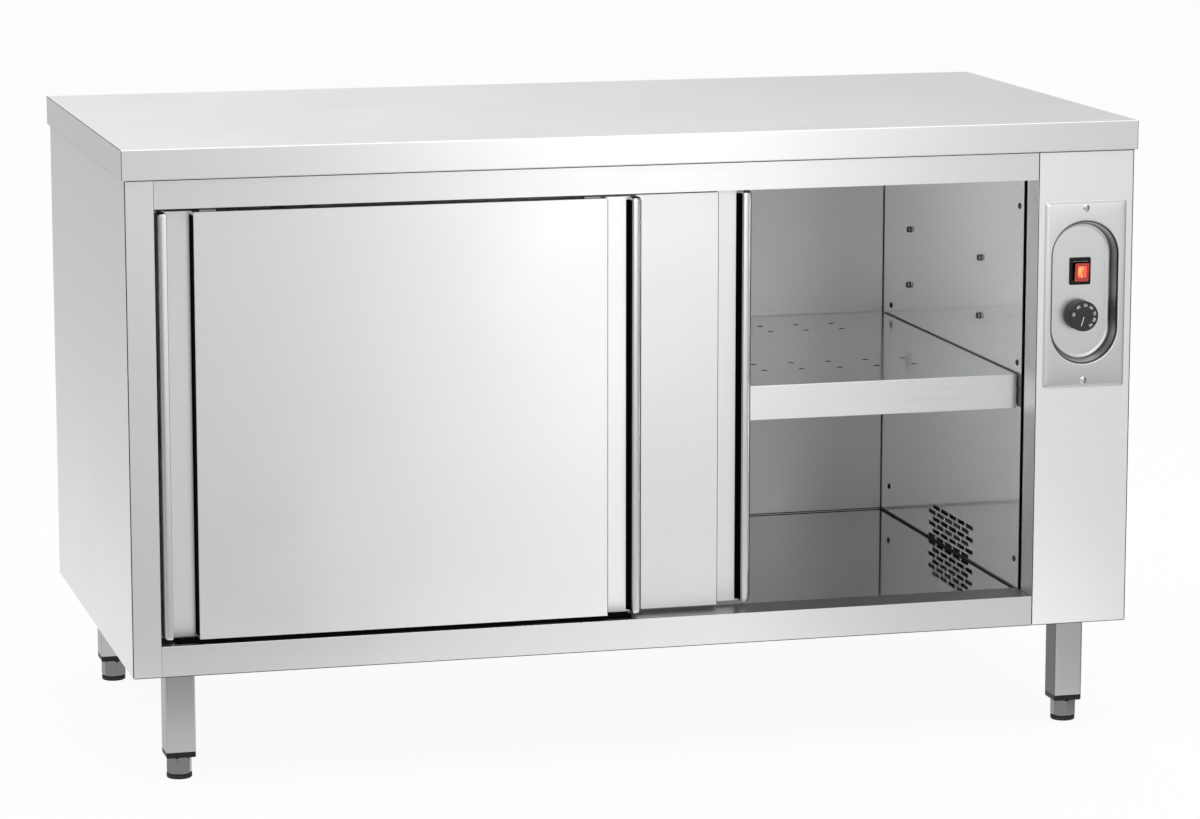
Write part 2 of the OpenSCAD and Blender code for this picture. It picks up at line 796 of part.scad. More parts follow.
// The pressed control plate: a flat edge, a round-ended dish, and the cut-outs
// for the switch, the shaft and the two screws
module control_plate() color("silver") {
    difference() {
        union() {
            difference() {
                upright(column_x, plate_y, plate_y + plate_t, plate_z) round_rect(plate_w, plate_h, 4);
                upright(column_x, plate_y - 1, plate_y + plate_t + 1, dish_mid_z)
                    stadium(dish_r, dish_spine);
            }
            translate([column_x, plate_y, dish_mid_z]) dish_wall();
            upright(column_x, dish_y, dish_back_y, dish_mid_z) stadium(dish_floor_r - 0.5, dish_spine);
        }
        plate_screw_holes();
        upright(column_x, dish_y - 1, dish_back_y + 1, switch_z)
            square([switch_w + 0.4, switch_h + 0.4], center = true);
        bar_y(shaft_r + 1, column_x, dish_y - 1, dish_back_y + 1, knob_z);
    }
}

// The wall's section carried round the outline: two half turns and two straight runs
module dish_wall() {
    for (s = [-1, 1]) {
        translate([0, 0, s * dish_spine]) rotate([-90, 0, 0])
            rotate([0, 0, s < 0 ? 0 : 180]) rotate_extrude(angle = 180) dish_section();
        translate([0, 0, -dish_spine]) linear_extrude(2 * dish_spine)
            mirror([s < 0 ? 1 : 0, 0]) dish_section();
    }
}

module plate_screws() color("whitesmoke") {
    for (s = [-1, 1])
        translate([column_x, plate_y, plate_z + s * screw_dz]) rotate([90, 0, 0])
            domed_screw(4.3, 2.2, screw_r, 8);
}

// The switch's bezel and body, with the well that the rocker tips in
module switch_body() color("#181818") {
    well_w = rocker_w + 2 * well_side;
    well_h = rocker_h + 2 * well_end;
    difference() {
        union() {
            upright(column_x, dish_y - bezel_t, dish_y, switch_z) round_rect(bezel_w, bezel_h, 2);
            upright(column_x, dish_y - bezel_t / 2, dish_y + switch_deep, switch_z)
                square([switch_w, switch_h], center = true);
        }
        upright(column_x, dish_y - bezel_t - 1, dish_y + switch_deep - 12, switch_z)
            square([well_w, well_h], center = true);
        bar_x(pin_r + fit, column_x - well_w / 2 - pin_l, column_x + well_w / 2 + pin_l,
              rocker_y, switch_z);
    }
}

// The rocker in its ON position: its lower half is pressed in. A stub pin on
// each side is the pivot
module rocker() color("red") {
    h = rocker_h / 2;
    translate([column_x, rocker_y, switch_z]) rotate([rocker_tilt, 0, 0]) {
        translate([-rocker_w / 2, 0, 0]) rotate([90, 0, 90]) linear_extrude(rocker_w)
            polygon([
                [rocker_back, 3 - h], [rocker_back - 2, -h], [2 - rocker_front, -h],
                [-rocker_front, 2 - h], [rocker_dip - rocker_front, 0],
                [-rocker_front, h - 2], [2 - rocker_front, h], [rocker_back - 2, h],
                [rocker_back, h - 3]
            ]);
        bar_x(pin_r, -rocker_w / 2 - well_side - pin_l / 2, rocker_w / 2 + well_side + pin_l / 2, 0, 0);
    }
}

// The knob: a plain round grip with an eased face edge, bored for the shaft
module knob() color("#303030") {
    front = knob_h;
    edge = 1.6;
    translate([column_x, dish_y, knob_z]) rotate([90, 0, 0]) difference() {
        union() {
            translate([0, 0, 0.8]) cylinder(r = knob_r, h = front - edge - 0.8);
            cylinder(r = knob_r - edge, h = front);
            translate([0, 0, front - edge]) rotate_extrude()
                translate([knob_r - edge, 0]) circle(r = edge);
        }
        translate([0, 0, -1]) cylinder(r = shaft_r + 0.02, h = front - 3);
        translate([0, 0, -5]) cylinder(r = knob_r + 1, h = 5.8);
        translate([0, 0, -1]) cylinder(r = shaft_r + 3, h = 5);
    }
}

// The capillary thermostat behind the dish
module thermostat() color("beige") {
    x = [column_x - thermostat_w / 2, column_x + thermostat_w / 2];
    z = [knob_z - thermostat_h / 2, knob_z + thermostat_h / 2];
    difference() {
        union() {
            block(x, [dish_back_y, dish_back_y + 2], z);
            block([x[0] + 3, x[1] - 3], [dish_back_y, dish_back_y + thermostat_d], z);
        }
        bar_y(shaft_r + fit, column_x, dish_back_y - 1, shaft_y1 + 1, knob_z);
    }
}

module thermostat_shaft() color("whitesmoke") {
    bar_y(shaft_r, column_x, dish_y - knob_h + 5, shaft_y1, knob_z);
}

// The thermostat's bulb, clipped to the lining, and its capillary tube
module thermostat_probe() color("goldenrod") {
    r = 3;
    tube_r = 0.9;
    x = wall_x + 4.5;
    y = in_y0 + 60;
    bulb_z = [knob_z - 190, knob_z - 90];
    start_y = dish_back_y + thermostat_d;
    translate([x, y, bulb_z[0]]) cylinder(r = r, h = bulb_z[1] - bulb_z[0]);
    for (z = [bulb_z[0] + 15, bulb_z[1] - 25])
        block([wall_x, x + 4], [y - 5, y + 5], [z, z + 10]);
    translate([x, y, bulb_z[1] - 1]) cylinder(r = tube_r, h = knob_z - bulb_z[1] + 1);
    translate([x, y, knob_z]) sphere(r = tube_r);
    bar_x(tube_r, x, column_x, y, knob_z);
    translate([column_x, y, knob_z]) sphere(r = tube_r);
    bar_y(tube_r, column_x, start_y, y, knob_z);
}

// ---- heater ----

// The duct behind the vent: a box open to the lining, with a fixing edge round it
module fan_housing() color("lightsteelblue") {
    y = [housing_y0, housing_y1];
    z = [housing_z0, housing_z1];
    difference() {
        union() {
            block([wall_x, housing_x1], y, z);
            block([wall_x, wall_x + sheet], [y[0] - 12, y[1] + 12], [z[0], z[1] + 12]);
        }
        block([wall_x - 1, housing_x1 - sheet], [y[0] + sheet, y[1] - sheet],
              [z[0] + sheet, z[1] - sheet]);
        bar_x(boss_r, housing_x1 - 5, housing_x1 + 1, vent_mid_y, fan_z);
        for (i = [0, 1])
            bar_x(heater_r + fit, housing_x1 - 5, housing_x1 + 1,
                  housing_y1 - 30, heater_z + i * 2 * heater_bend);
    }
}

// The motor on the duct's outside, with its front boss in the duct's hole
module fan_motor() color("slategray") {
    difference() {
        union() {
            bar_x(motor_r, housing_x1, housing_x1 + motor_l, vent_mid_y, fan_z);
            bar_x(boss_r - fit, housing_x1 - 4, housing_x1 + 1, vent_mid_y, fan_z);
        }
        bar_x(3 + fit, housing_x1 - 5, housing_x1 + motor_l - 8, vent_mid_y, fan_z);
    }
}

// The impeller: a back plate, a hub with its shaft, and straight blades
module fan_impeller() color("silver") {
    x1 = fan_x0 + fan_w;
    bar_x(fan_r, x1 - 1.5, x1, vent_mid_y, fan_z);
    bar_x(9, fan_x0 + 8, x1, vent_mid_y, fan_z);
    bar_x(3, x1 - 2, housing_x1 + motor_l - 10, vent_mid_y, fan_z);
    for (i = [0 : blades - 1])
        translate([0, vent_mid_y, fan_z]) rotate([i * 360 / blades, 0, 0])
            block([fan_x0, x1 - 1], [-0.6, 0.6], [fan_r - 22, fan_r - 1]);
}

// The heating tube: a hairpin behind the vent, with both ends through the duct's side
module heater() color("dimgray") {
    y = [housing_y0 + 40, housing_y1 - 30];
    zs = [heater_z, heater_z + 2 * heater_bend];
    for (z = zs) {
        bar_y(heater_r, heater_x, y[0], y[1] - heater_bend, z);
        translate([heater_x + heater_bend, y[1] - heater_bend, z]) rotate([0, 0, 90])
            rotate_extrude(angle = 90) translate([heater_bend, 0]) circle(r = heater_r);
        bar_x(heater_r, heater_x + heater_bend, housing_x1 + 20, y[1], z);
        bar_x(heater_r + 4, housing_x1, housing_x1 + 3, y[1], z);
    }
    translate([heater_x, y[0], heater_z + heater_bend]) rotate([0, -90, 0]) rotate([0, 0, 180])
        rotate_extrude(angle = 180) translate([heater_bend, 0]) circle(r = heater_r);
}

// The safety cut-out on top of the duct
module safety_thermostat() color("#202020") {
    x = (wall_x + housing_x1) / 2;
    y = housing_y0 + 50;
    translate([x, y, housing_z1]) {
        cylinder(r = 12, h = 1);
        cylinder(r = 9, h = 12);
        for (s = [-1, 1]) block([s * 5 - 0.4, s * 5 + 0.4], [-3, 3], [10, 20]);
    }
}

// The terminal block on the base pan
module terminal_block() color("white") {
    x = [column_x - terminal_w / 2, column_x + terminal_w / 2];
    mid_y = (terminal_y[0] + terminal_y[1]) / 2;
    difference() {
        block(x, terminal_y, [pan_z1, pan_z1 + terminal_h]);
        for (i = [-2 : 2], s = [-1, 1])
            translate([column_x + i * terminal_pitch, mid_y + s * terminal_pitch / 2,
                       pan_z1 + terminal_h - 8])
                cylinder(r = 2.5, h = 10);
    }
}

// The cable gland under the base pan, and its lock nut above
module cable_gland() color("#202020") {
    nut_h = 5;
    translate([gland_x, gland_y, 0]) {
        difference() {
            union() {
                translate([0, 0, pan_z0 - 6]) cylinder(r = gland_r + 4, h = 6, $fn = 6);
                translate([0, 0, pan_z0 - gland_l]) cylinder(r = gland_r + 1, h = gland_l - 5);
                translate([0, 0, pan_z0 - 1]) cylinder(r = gland_r, h = pan_t + nut_h + 4);
            }
            translate([0, 0, pan_z0 - gland_l - 1]) cylinder(r = gland_bore_r, h = 2 * gland_l);
        }
        difference() {
            translate([0, 0, pan_z1]) cylinder(r = gland_r + 5, h = nut_h, $fn = 6);
            translate([0, 0, pan_z1 - 1]) cylinder(r = gland_r + fit, h = nut_h + 2);
        }
    }
}

// ---- doors ----

// A door's front: one sheet folded into a raised panel and the floors of the
// two finger channels, closed at the top and bottom of the panel
module door_skin(x, y) {
    p0 = panel_x0;
    p1 = panel_x1;
    d = channel_d + skin_t;
    translate([x, y, 0]) {
        translate([0, 0, door_z0]) linear_extrude(door_z1 - door_z0) polygon([
            [bar_w, channel_d], [p0, channel_d], [p0, 0], [p1, 0],
            [p1, channel_d], [door_w - bar_w, channel_d], [door_w - bar_w, d],
            [p1 - skin_t, d], [p1 - skin_t, skin_t], [p0 + skin_t, skin_t],
            [p0 + skin_t, d], [bar_w, d]
        ]);
        for (z = [door_z0, door_z1 - skin_t]) block([p0, p1], [0, d], [z, z + skin_t]);
    }
}

// A door's back: a flat sheet with a fold that closes the top
module door_back(x, y) {
    translate([x, y, 0]) {
        block([0, door_w], [back_y, door_t], [door_z0, door_z1]);
        block([bar_w, door_w - bar_w], [channel_d + skin_t, door_t], [door_z1 - skin_t, door_z1]);
    }
}

// The stiff filling behind a door's raised panel
module door_core(x, y) {
    translate([x, y, 0])
        block([panel_x0 + 2 * skin_t, panel_x1 - 2 * skin_t], [skin_t, channel_d],
              [door_z0 + 2 * skin_t, door_z1 - 2 * skin_t]);
}

// The grip bars at a door's two ends: round-fronted hollow strips, capped on top
module door_handles(x, y) {
    for (bx = [0, door_w - bar_w])
        translate([x + bx + bar_r, y, door_z0]) difference() {
            linear_extrude(door_z1 - door_z0) bar_outline(bar_r);
            translate([0, skin_t, -1]) linear_extrude(door_z1 - door_z0 - skin_t)
                bar_outline(bar_r - skin_t);
        }
}

// A strip with a half-round front, as deep as the door's front shell
module bar_outline(r) {
    depth = back_y - (bar_r - r) * 2;
    translate([0, r]) circle(r = r);
    translate([-r, r]) square([2 * r, depth - r]);
}

// The two hangers on a door's top edge, each with the axle of its roller
module door_hangers(x, y) {
    for (hx = [hanger_inset, door_w - hanger_inset])
        translate([x + hx, y, 0]) {
            difference() {
                union() {
                    block([-hanger_w / 2, hanger_w / 2], [hanger_y0, plate_y0 + hanger_t],
                          [door_z1, door_z1 + foot_t]);
                    block([-hanger_w / 2, hanger_w / 2], [plate_y0, plate_y0 + hanger_t],
                          [door_z1, roller_z + hanger_over]);
                }
                bar_y(axle_r + 0.01, 0, plate_y0 - 1, plate_y0 + hanger_t + 1, roller_z);
            }
            bar_y(axle_r, 0, roller_y - roller_w / 2 - 1.2, plate_y0 + hanger_t + 1.5, roller_z);
            bar_y(axle_r + 1.2, 0, roller_y - roller_w / 2 - 1.5, roller_y - roller_w / 2 - 0.3, roller_z);
            bar_y(axle_r + 1, 0, plate_y0 - 0.8, plate_y0, roller_z);
            bar_y(axle_r + 1, 0, plate_y0 + hanger_t, plate_y0 + hanger_t + 1.5, roller_z);
        }
}

// A grooved roller; its groove straddles the rail's running edge
module door_roller(x, y) {
    w = roller_w / 2;
    g = lip_t / 2 + run;
    translate([x, y + roller_y, roller_z]) rotate([-90, 0, 0]) rotate_extrude() polygon([
        [axle_r + fit, -w], [roller_r, -w], [roller_r, -g], [groove_r, -g],
        [groove_r, g], [roller_r, g], [roller_r, w], [axle_r + fit, w]
    ]);
}

module left_door_skin() color("whitesmoke") door_skin(left_x, front_y);
module left_door_back() color("lightgray") door_back(left_x, front_y);
module left_door_core() color("khaki") door_core(left_x, front_y);
module left_door_handles() color("silver") door_handles(left_x, front_y);
module left_door_hangers() color("gray") door_hangers(left_x, front_y);
module left_roller_a() color("white") door_roller(left_x + hanger_inset, front_y);
module left_roller_b() color("white") door_roller(left_x + door_w - hanger_inset, front_y);
module right_door_skin() color("whitesmoke") door_skin(right_x, rear_y);
module right_door_back() color("lightgray") door_back(right_x, rear_y);
module right_door_core() color("khaki") door_core(right_x, rear_y);
module right_door_handles() color("silver") door_handles(right_x, rear_y);
module right_door_hangers() color("gray") door_hangers(right_x, rear_y);
module right_roller_a() color("white") door_roller(right_x + hanger_inset, rear_y);
module right_roller_b() color("white") door_roller(right_x + door_w - hanger_inset, rear_y);

worktop();
worktop_core();
side_left();
side_right();
control_column();
rear_panel();
base_pan();
header_rail();
bottom_rail();
liner_left();
liner_right();
liner_rear();
liner_ceiling();
liner_floor();
insulation();
door_track();
floor_guides();
case_screws();
shelf_studs();
shelf();
leg_tubes();
leg_inserts();
foot_front_left();
foot_front_right();
foot_rear_left();
foot_rear_right();
pad_front_left();
pad_front_right();
pad_rear_left();
pad_rear_right();
control_plate();
plate_screws();
switch_body();
rocker();
knob();
thermostat();
thermostat_shaft();
thermostat_probe();
safety_thermostat();
terminal_block();
cable_gland();
fan_housing();
fan_motor();
fan_impeller();
heater();
left_door_skin();
left_door_back();
left_door_core();
left_door_handles();
left_door_hangers();
left_roller_a();
left_roller_b();
right_door_skin();
right_door_back();
right_door_core();
right_door_handles();
right_door_hangers();
right_roller_a();
right_roller_b();
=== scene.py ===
# %% [markdown]
# # A heated plate cupboard in Blender
#
# The cupboard is made of stainless sheet, folded and screwed together. It comes as a packed
# frame whose pieces already stand in the right place, in metres. This lesson gives each piece
# the finish that the real one has, and makes again, with their folds, rolled rims and eased
# edges, the pieces whose shape catches the light.

# %% Load the frame
import json
import math
import bmesh
import bpy
import numpy as np
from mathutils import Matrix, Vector


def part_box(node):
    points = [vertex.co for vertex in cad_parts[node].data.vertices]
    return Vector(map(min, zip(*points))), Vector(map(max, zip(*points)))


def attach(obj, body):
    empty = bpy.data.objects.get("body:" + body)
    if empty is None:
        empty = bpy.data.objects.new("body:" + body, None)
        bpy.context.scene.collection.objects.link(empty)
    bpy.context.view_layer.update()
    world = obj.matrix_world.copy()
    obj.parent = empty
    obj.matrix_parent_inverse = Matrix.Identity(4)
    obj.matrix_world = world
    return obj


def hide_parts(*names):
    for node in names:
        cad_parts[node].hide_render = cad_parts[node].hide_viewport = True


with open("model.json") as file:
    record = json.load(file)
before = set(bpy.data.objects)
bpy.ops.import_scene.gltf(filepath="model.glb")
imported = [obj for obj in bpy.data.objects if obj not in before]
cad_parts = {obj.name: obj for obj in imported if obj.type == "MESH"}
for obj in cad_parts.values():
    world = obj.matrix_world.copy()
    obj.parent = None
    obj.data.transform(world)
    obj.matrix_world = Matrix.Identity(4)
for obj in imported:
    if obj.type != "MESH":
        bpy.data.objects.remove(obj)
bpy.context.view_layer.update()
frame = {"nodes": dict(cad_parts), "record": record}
nodes = frame["nodes"]
scene = bpy.context.scene

# %% [markdown]
# ## Camera
#
# The photograph was taken from in front, a little to the left and well above the worktop,
# with a long lens that keeps upright edges almost parallel. The camera's place was worked out
# from the cupboard's corners, so no shift is needed.

# %% Camera
IMAGE_W = 1200
FOCAL_PX = 4404
SENSOR_MM = 36
CAMERA_AT = (-1.550, -5.958, 1.507)
CAMERA_DOWN = 10.01
CAMERA_RIGHT = 14.86

camera_data = bpy.data.cameras.new("camera")
camera_data.sensor_width = SENSOR_MM
camera_data.sensor_fit = "HORIZONTAL"
camera_data.lens = FOCAL_PX / IMAGE_W * SENSOR_MM
camera_data.clip_end = 200
camera = bpy.data.objects.new("camera", camera_data)
camera.location = CAMERA_AT
camera.rotation_euler = (math.radians(90 - CAMERA_DOWN), 0, math.radians(-CAMERA_RIGHT))
scene.collection.objects.link(camera)
scene.camera = camera
scene.view_settings.view_transform = "Standard"
print("lens", round(camera_data.lens, 1), "mm")

# %% [markdown]
# ## Colours and shader nodes
#
# Colours are written as the hex values that a screen shows, and one function turns them into
# the linear light that a renderer works with. One more function adds a shader node with its
# settings and its links. The others start and end a material, or blend something over it.

# %% Colour and node helpers
MM = 0.001
SMOOTH = {"interpolation_type": "SMOOTHSTEP"}


def linear(hex_code):
    """Each channel c of 0 to 1 becomes ((c + 0.055) / 1.055) to the power 2.4, or c / 12.92 when
    it is near black."""
    channels = [int(hex_code[i:i + 2], 16) / 255 for i in (1, 3, 5)]
    return [((c + 0.055) / 1.055) ** 2.4 if c > 0.04045 else c / 12.92 for c in channels] + [1]


def darker(hex_code, share):
    """The same colour with its linear light multiplied by a share."""
    return [share * c for c in linear(hex_code)[:3]] + [1]


def feed(tree, node, key, value):
    """Fills an input with a value, a hex colour, a socket, or a node, which stands for the first of
    its outputs that is in use."""
    if isinstance(value, bpy.types.Node):
        value = next(socket for socket in value.outputs if socket.enabled)
    if isinstance(value, bpy.types.NodeSocket):
        tree.links.new(value, node.inputs[key])
    else:
        node.inputs[key].default_value = linear(value) if isinstance(value, str) else value


def add(tree, kind, inputs=(), **settings):
    """Adds a node, sets its properties, and fills its inputs."""
    made = tree.nodes.new("ShaderNode" + kind)
    for key, value in settings.items():
        setattr(made, key, value)
    for key, value in dict(inputs).items():
        feed(tree, made, key, value)
    return made


def new_material(name):
    """An empty node material and its tree, with only the output node in it."""
    material = bpy.data.materials.new(name)
    material.use_nodes = True
    material.node_tree.nodes.clear()
    add(material.node_tree, "OutputMaterial")
    return material, material.node_tree


def finish_material(tree, shader):
    """Joins a shader to the tree's output."""
    feed(tree, tree.nodes["Material Output"], "Surface", shader)


# %% Masks and blends
def along(material, kind, axis, start, end, low=0.0, high=1.0, **settings):
    """Goes from low to high while one axis of the place (kind Object) or of the surface's normal
    (kind Normal) goes from start to end."""
    tree = material.node_tree
    source = add(tree, "TexCoord" if kind == "Object" else "NewGeometry").outputs[kind]
    part = add(tree, "SeparateXYZ", {0: source}).outputs[axis]
    return add(tree, "MapRange", {0: part, 1: start, 2: end, 3: low, 4: high}, **settings)


def window(material, middle, half_x, half_z):
    """One inside a rectangle round a middle (x, z), as seen from the front, in millimetres. It fades
    out over the last 0.4 mm."""
    tree = material.node_tree
    place = add(tree, "TexCoord").outputs["Object"]
    at = (middle[0] * MM, 0, middle[1] * MM)
    aside = add(tree, "VectorMath", {0: place, 1: at}, operation="SUBTRACT")
    aside = add(tree, "SeparateXYZ", {0: add(tree, "VectorMath", {0: aside}, operation="ABSOLUTE")})
    inside = [add(tree, "MapRange", {0: aside.outputs[axis], 1: half * MM, 2: (half - 0.4) * MM})
              for axis, half in (("X", half_x), ("Z", half_z))]
    return add(tree, "Math", dict(enumerate(inside)), operation="MULTIPLY")


def blend(material, key, share, value):
    """Blends a hex colour or a number over what feeds one of the shader's inputs: own times
    (1 - share) plus value times share."""
    tree = material.node_tree
    shader = tree.nodes["Principled BSDF"]
    own = shader.inputs[key].links[0].from_socket
    first, kind = (6, "RGBA") if isinstance(value, str) else (2, "FLOAT")
    mixed = add(tree, "Mix", {0: share, first: own, first + 1: value}, data_type=kind)
    feed(tree, shader, key, mixed)
    return material


# %% [markdown]
# ## Satin stainless sheet
#
# Kitchen stainless is grade 304 sheet, ground with a fine belt. The belt leaves scratches that
# all run one way, so a reflection is drawn out across them and stays narrow along them. The
# shader does that with anisotropy, whose tangent is the surface's normal crossed with the
# grain. The scratches are some tenths of a millimetre apart, too fine for this view, so they
# are drawn about a millimetre apart. The steel is a metal: its colour is the tint of its
# reflections, and what the eye reads as grey or white is the room that it mirrors.

# %% Stainless steel
GRAINS = {"X": (1, 0.02, 0.01), "Y": (0.02, 1, 0.01), "Z": (0.02, 0.01, 1)}
SCRATCH_STRETCH = 150
CLOUD_SCALE = 5.0
BUMP_MM = 0.1


def stainless(name, tint, roughness, grain="X", grain_mm=1.1, depth=0.05, cloud=0.02, drawn=0.7,
              metallic=1.0):
    """Noise stretched along the grain gives the scratches; a slow noise changes the gloss a little."""
    material, tree = new_material(name)
    place = add(tree, "TexCoord").outputs["Object"]
    fine = 1 / (grain_mm * MM)
    scale = [fine / SCRATCH_STRETCH if axis == grain else fine for axis in "XYZ"]
    stretched = add(tree, "Mapping", {"Vector": place, "Scale": scale})
    scratch = add(tree, "TexNoise", {"Vector": stretched, "Scale": 1.0, "Detail": 3.0, "Roughness": 0.6})
    slow = add(tree, "TexNoise", {"Vector": place, "Scale": CLOUD_SCALE, "Detail": 2.0})
    colour = add(tree, "Mix", {0: scratch, 6: darker(tint, 0.95), 7: tint}, data_type="RGBA")
    base = add(tree, "MapRange", {0: slow, 1: 0.3, 2: 0.7, 3: roughness - cloud, 4: roughness + cloud})
    fleck = add(tree, "MapRange", {0: scratch, 1: 0.3, 2: 0.7, 3: -0.02, 4: 0.02})
    rough = add(tree, "Math", {0: base, 1: fleck})
    bump = add(tree, "Bump", {"Height": scratch, "Strength": depth, "Distance": BUMP_MM * MM})
    normal = add(tree, "NewGeometry").outputs["Normal"]
    across = add(tree, "VectorMath", {0: normal, 1: GRAINS[grain]}, operation="CROSS_PRODUCT")
    shader = add(tree, "BsdfPrincipled", {
        "Base Color": colour, "Metallic": metallic, "Roughness": rough, "Anisotropic": drawn,
        "Tangent": across, "Normal": bump})
    finish_material(tree, shader)
    return material


# %% [markdown]
# ## Painted light and shade on the sheet
#
# No two faces of the same sheet look quite alike here. The worktop's edge and the sill are painted
# darker, the front door lighter low down, the walls of the shelf's holes dark, and the leg tubes
# darker where they stand in the cabinet's shade: painted light and shade. Plates polish the shelf.
# A mask on the place or on the normal says where, and the satin's own colour or gloss is blended
# towards the painted shade, painted light or polish there. Painting a picture of it would need an
# image file, and a mask in metres stays sharp at any size.

# %% Finishes with painted light and shade
def worktop_with_painted_edge_shade():
    """The top has a bright tint; the folded edge, where the normal turns from up, is painted a
    little greyer as shade.
    """
    steel = stainless("satin_worktop", "#f6f6f6", 0.34, cloud=0.005)
    return blend(steel, "Base Color", along(steel, "Normal", "Z", 0.8, 0.4), "#e9e9e9")


def front_door_painted_lower_light():
    """The front door's tint is painted a little lighter towards its lower half: painted light."""
    steel = stainless("satin_front_door", "#ececeb", 0.33)
    return blend(steel, "Base Color", along(steel, "Object", "Z", 0.78, 0.38, **SMOOTH), "#f3f3f2")


def sill_with_painted_shade():
    """The rail under the doors is darker towards the right, and its top face, in the slit under the
    doors, is painted dark as shade."""
    steel = stainless("satin_sill", "#e8e9e9", 0.34)
    blend(steel, "Base Color", along(steel, "Object", "X", 0.08, 0.42, **SMOOTH), "#cfd0d0")
    return blend(steel, "Base Color", along(steel, "Normal", "Z", 0.8, 0.98), "#949595")


def shaded_tubes():
    """The left faces of the tubes look under the cabinet: they lie in its shade, the right-hand
    ones more than the left-hand ones."""
    steel = stainless("satin_tube", "#bcbdbd", 0.36, grain="Z")
    leftward = along(steel, "Normal", "X", -0.4, -0.9)
    inner = along(steel, "Object", "X", -0.6, 0.6, 0.2, 0.85)
    amount = add(steel.node_tree, "Math", {0: leftward, 1: inner}, operation="MULTIPLY")
    return blend(steel, "Base Color", amount, "#4d4f50")


def polished_shelf_painted_hole_shade():
    """The lip keeps its satin; where the normal points up, plates have polished the sheet. The walls
    of the punched holes, upright faces behind the lip, are painted dark as shade."""
    steel = stainless("satin_shelf", "#e6e7e6", 0.3)
    blend(steel, "Roughness", along(steel, "Normal", "Z", 0.6, 0.95), 0.12)
    tree = steel.node_tree
    up = add(tree, "SeparateXYZ", {0: add(tree, "NewGeometry").outputs["Normal"]}).outputs["Z"]
    wall = add(tree, "MapRange", {0: add(tree, "Math", {0: up}, operation="ABSOLUTE"), 1: 0.7, 2: 0.4})
    behind_lip = along(steel, "Object", "Y", -272 * MM, -270 * MM)
    in_hole = add(tree, "Math", {0: wall, 1: behind_lip}, operation="MULTIPLY")
    return blend(steel, "Base Color", in_hole, "#141516")


# %% [markdown]
# ## Dish with painted shade
#
# The dish of the control plate is deep drawn. A colour ramp over the depth behind the plate's
# face paints grey and dark bands of shade on its wall, most at the rim and at the foot, and a
# window round the dish keeps them off the plate's edge.

# %% Plate finish
PLATE_FACE = -347.5
DISH_MID = (627.0, 614.5)
DISH_DEPTH = 20
# Bands of painted shade on the dish: a share of the depth and a strength
DISH_SHADE_BANDS = ((0.008, 0.0), (0.016, 1.0), (0.1, 0.95), (0.2, 0.2), (0.5, 0.45), (0.85, 0.95), (0.96, 0.0))


def plate_with_painted_dish_shade():
    """The satin of the plate, darkened by bands of painted shade, each a share of the depth and a
    strength.
    """
    steel = stainless("fine_satin_plate", "#e2e3e3", 0.3, grain="Z", depth=0.02, drawn=0.2)
    tree = steel.node_tree
    depth = along(steel, "Object", "Y", PLATE_FACE * MM, (PLATE_FACE + DISH_DEPTH) * MM)
    bands = add(tree, "ValToRGB", {0: depth})
    stops = bands.color_ramp.elements
    for share, grey in DISH_SHADE_BANDS:
        stops.new(share).color = (grey, grey, grey, 1)
    stops.remove(stops[-1])
    stops.remove(stops[0])
    share = add(tree, "Math", {0: window(steel, DISH_MID, 55, 118), 1: bands}, operation="MULTIPLY")
    return blend(steel, "Base Color", share, "#3a3b3c")


# %% [markdown]
# ## Plastics, rubber and the rest
#
# The small pieces are moulded polyamide, nylon, rubber, chipboard, copper and enamel. Each has
# its own tint, gloss and surface grain, as a noise at the size of its grit.

# %% Moulded and raw materials
def moulded(name, tint, roughness, grit_mm=0.8, depth=0.1, metallic=0.0, mottle=0.9, shine=0.5):
    """A noise at the grit's size gives the bump and a small change of tint."""
    material, tree = new_material(name)
    place = add(tree, "TexCoord").outputs["Object"]
    grit = add(tree, "TexNoise", {"Vector": place, "Scale": 1 / (grit_mm * MM), "Detail": 3.0})
    colour = add(tree, "Mix", {0: grit, 6: darker(tint, mottle), 7: tint}, data_type="RGBA")
    bump = add(tree, "Bump", {"Height": grit, "Strength": depth, "Distance": BUMP_MM * MM})
    shader = add(tree, "BsdfPrincipled", {
        "Base Color": colour, "Metallic": metallic, "Roughness": roughness,
        "Specular IOR Level": shine, "Normal": bump})
    finish_material(tree, shader)
    return material


# %% [markdown]
# ## Lit rocker
#
# The rocker is clear red plastic over a small lamp. Real light through tinted plastic takes many
# bounces, so the glow is given as emission instead: a panel in the middle of the face, yellow
# near the lamp and pink further off. The flanks, deep in the black bezel, are painted near black
# as its shade, with no glow and no shine.

# %% Rocker finish
PANEL_MID = (627.4, 641.5)
PANEL_HALF = (6.5, 8.3)
LAMP_MID = (624.0, 642.3)


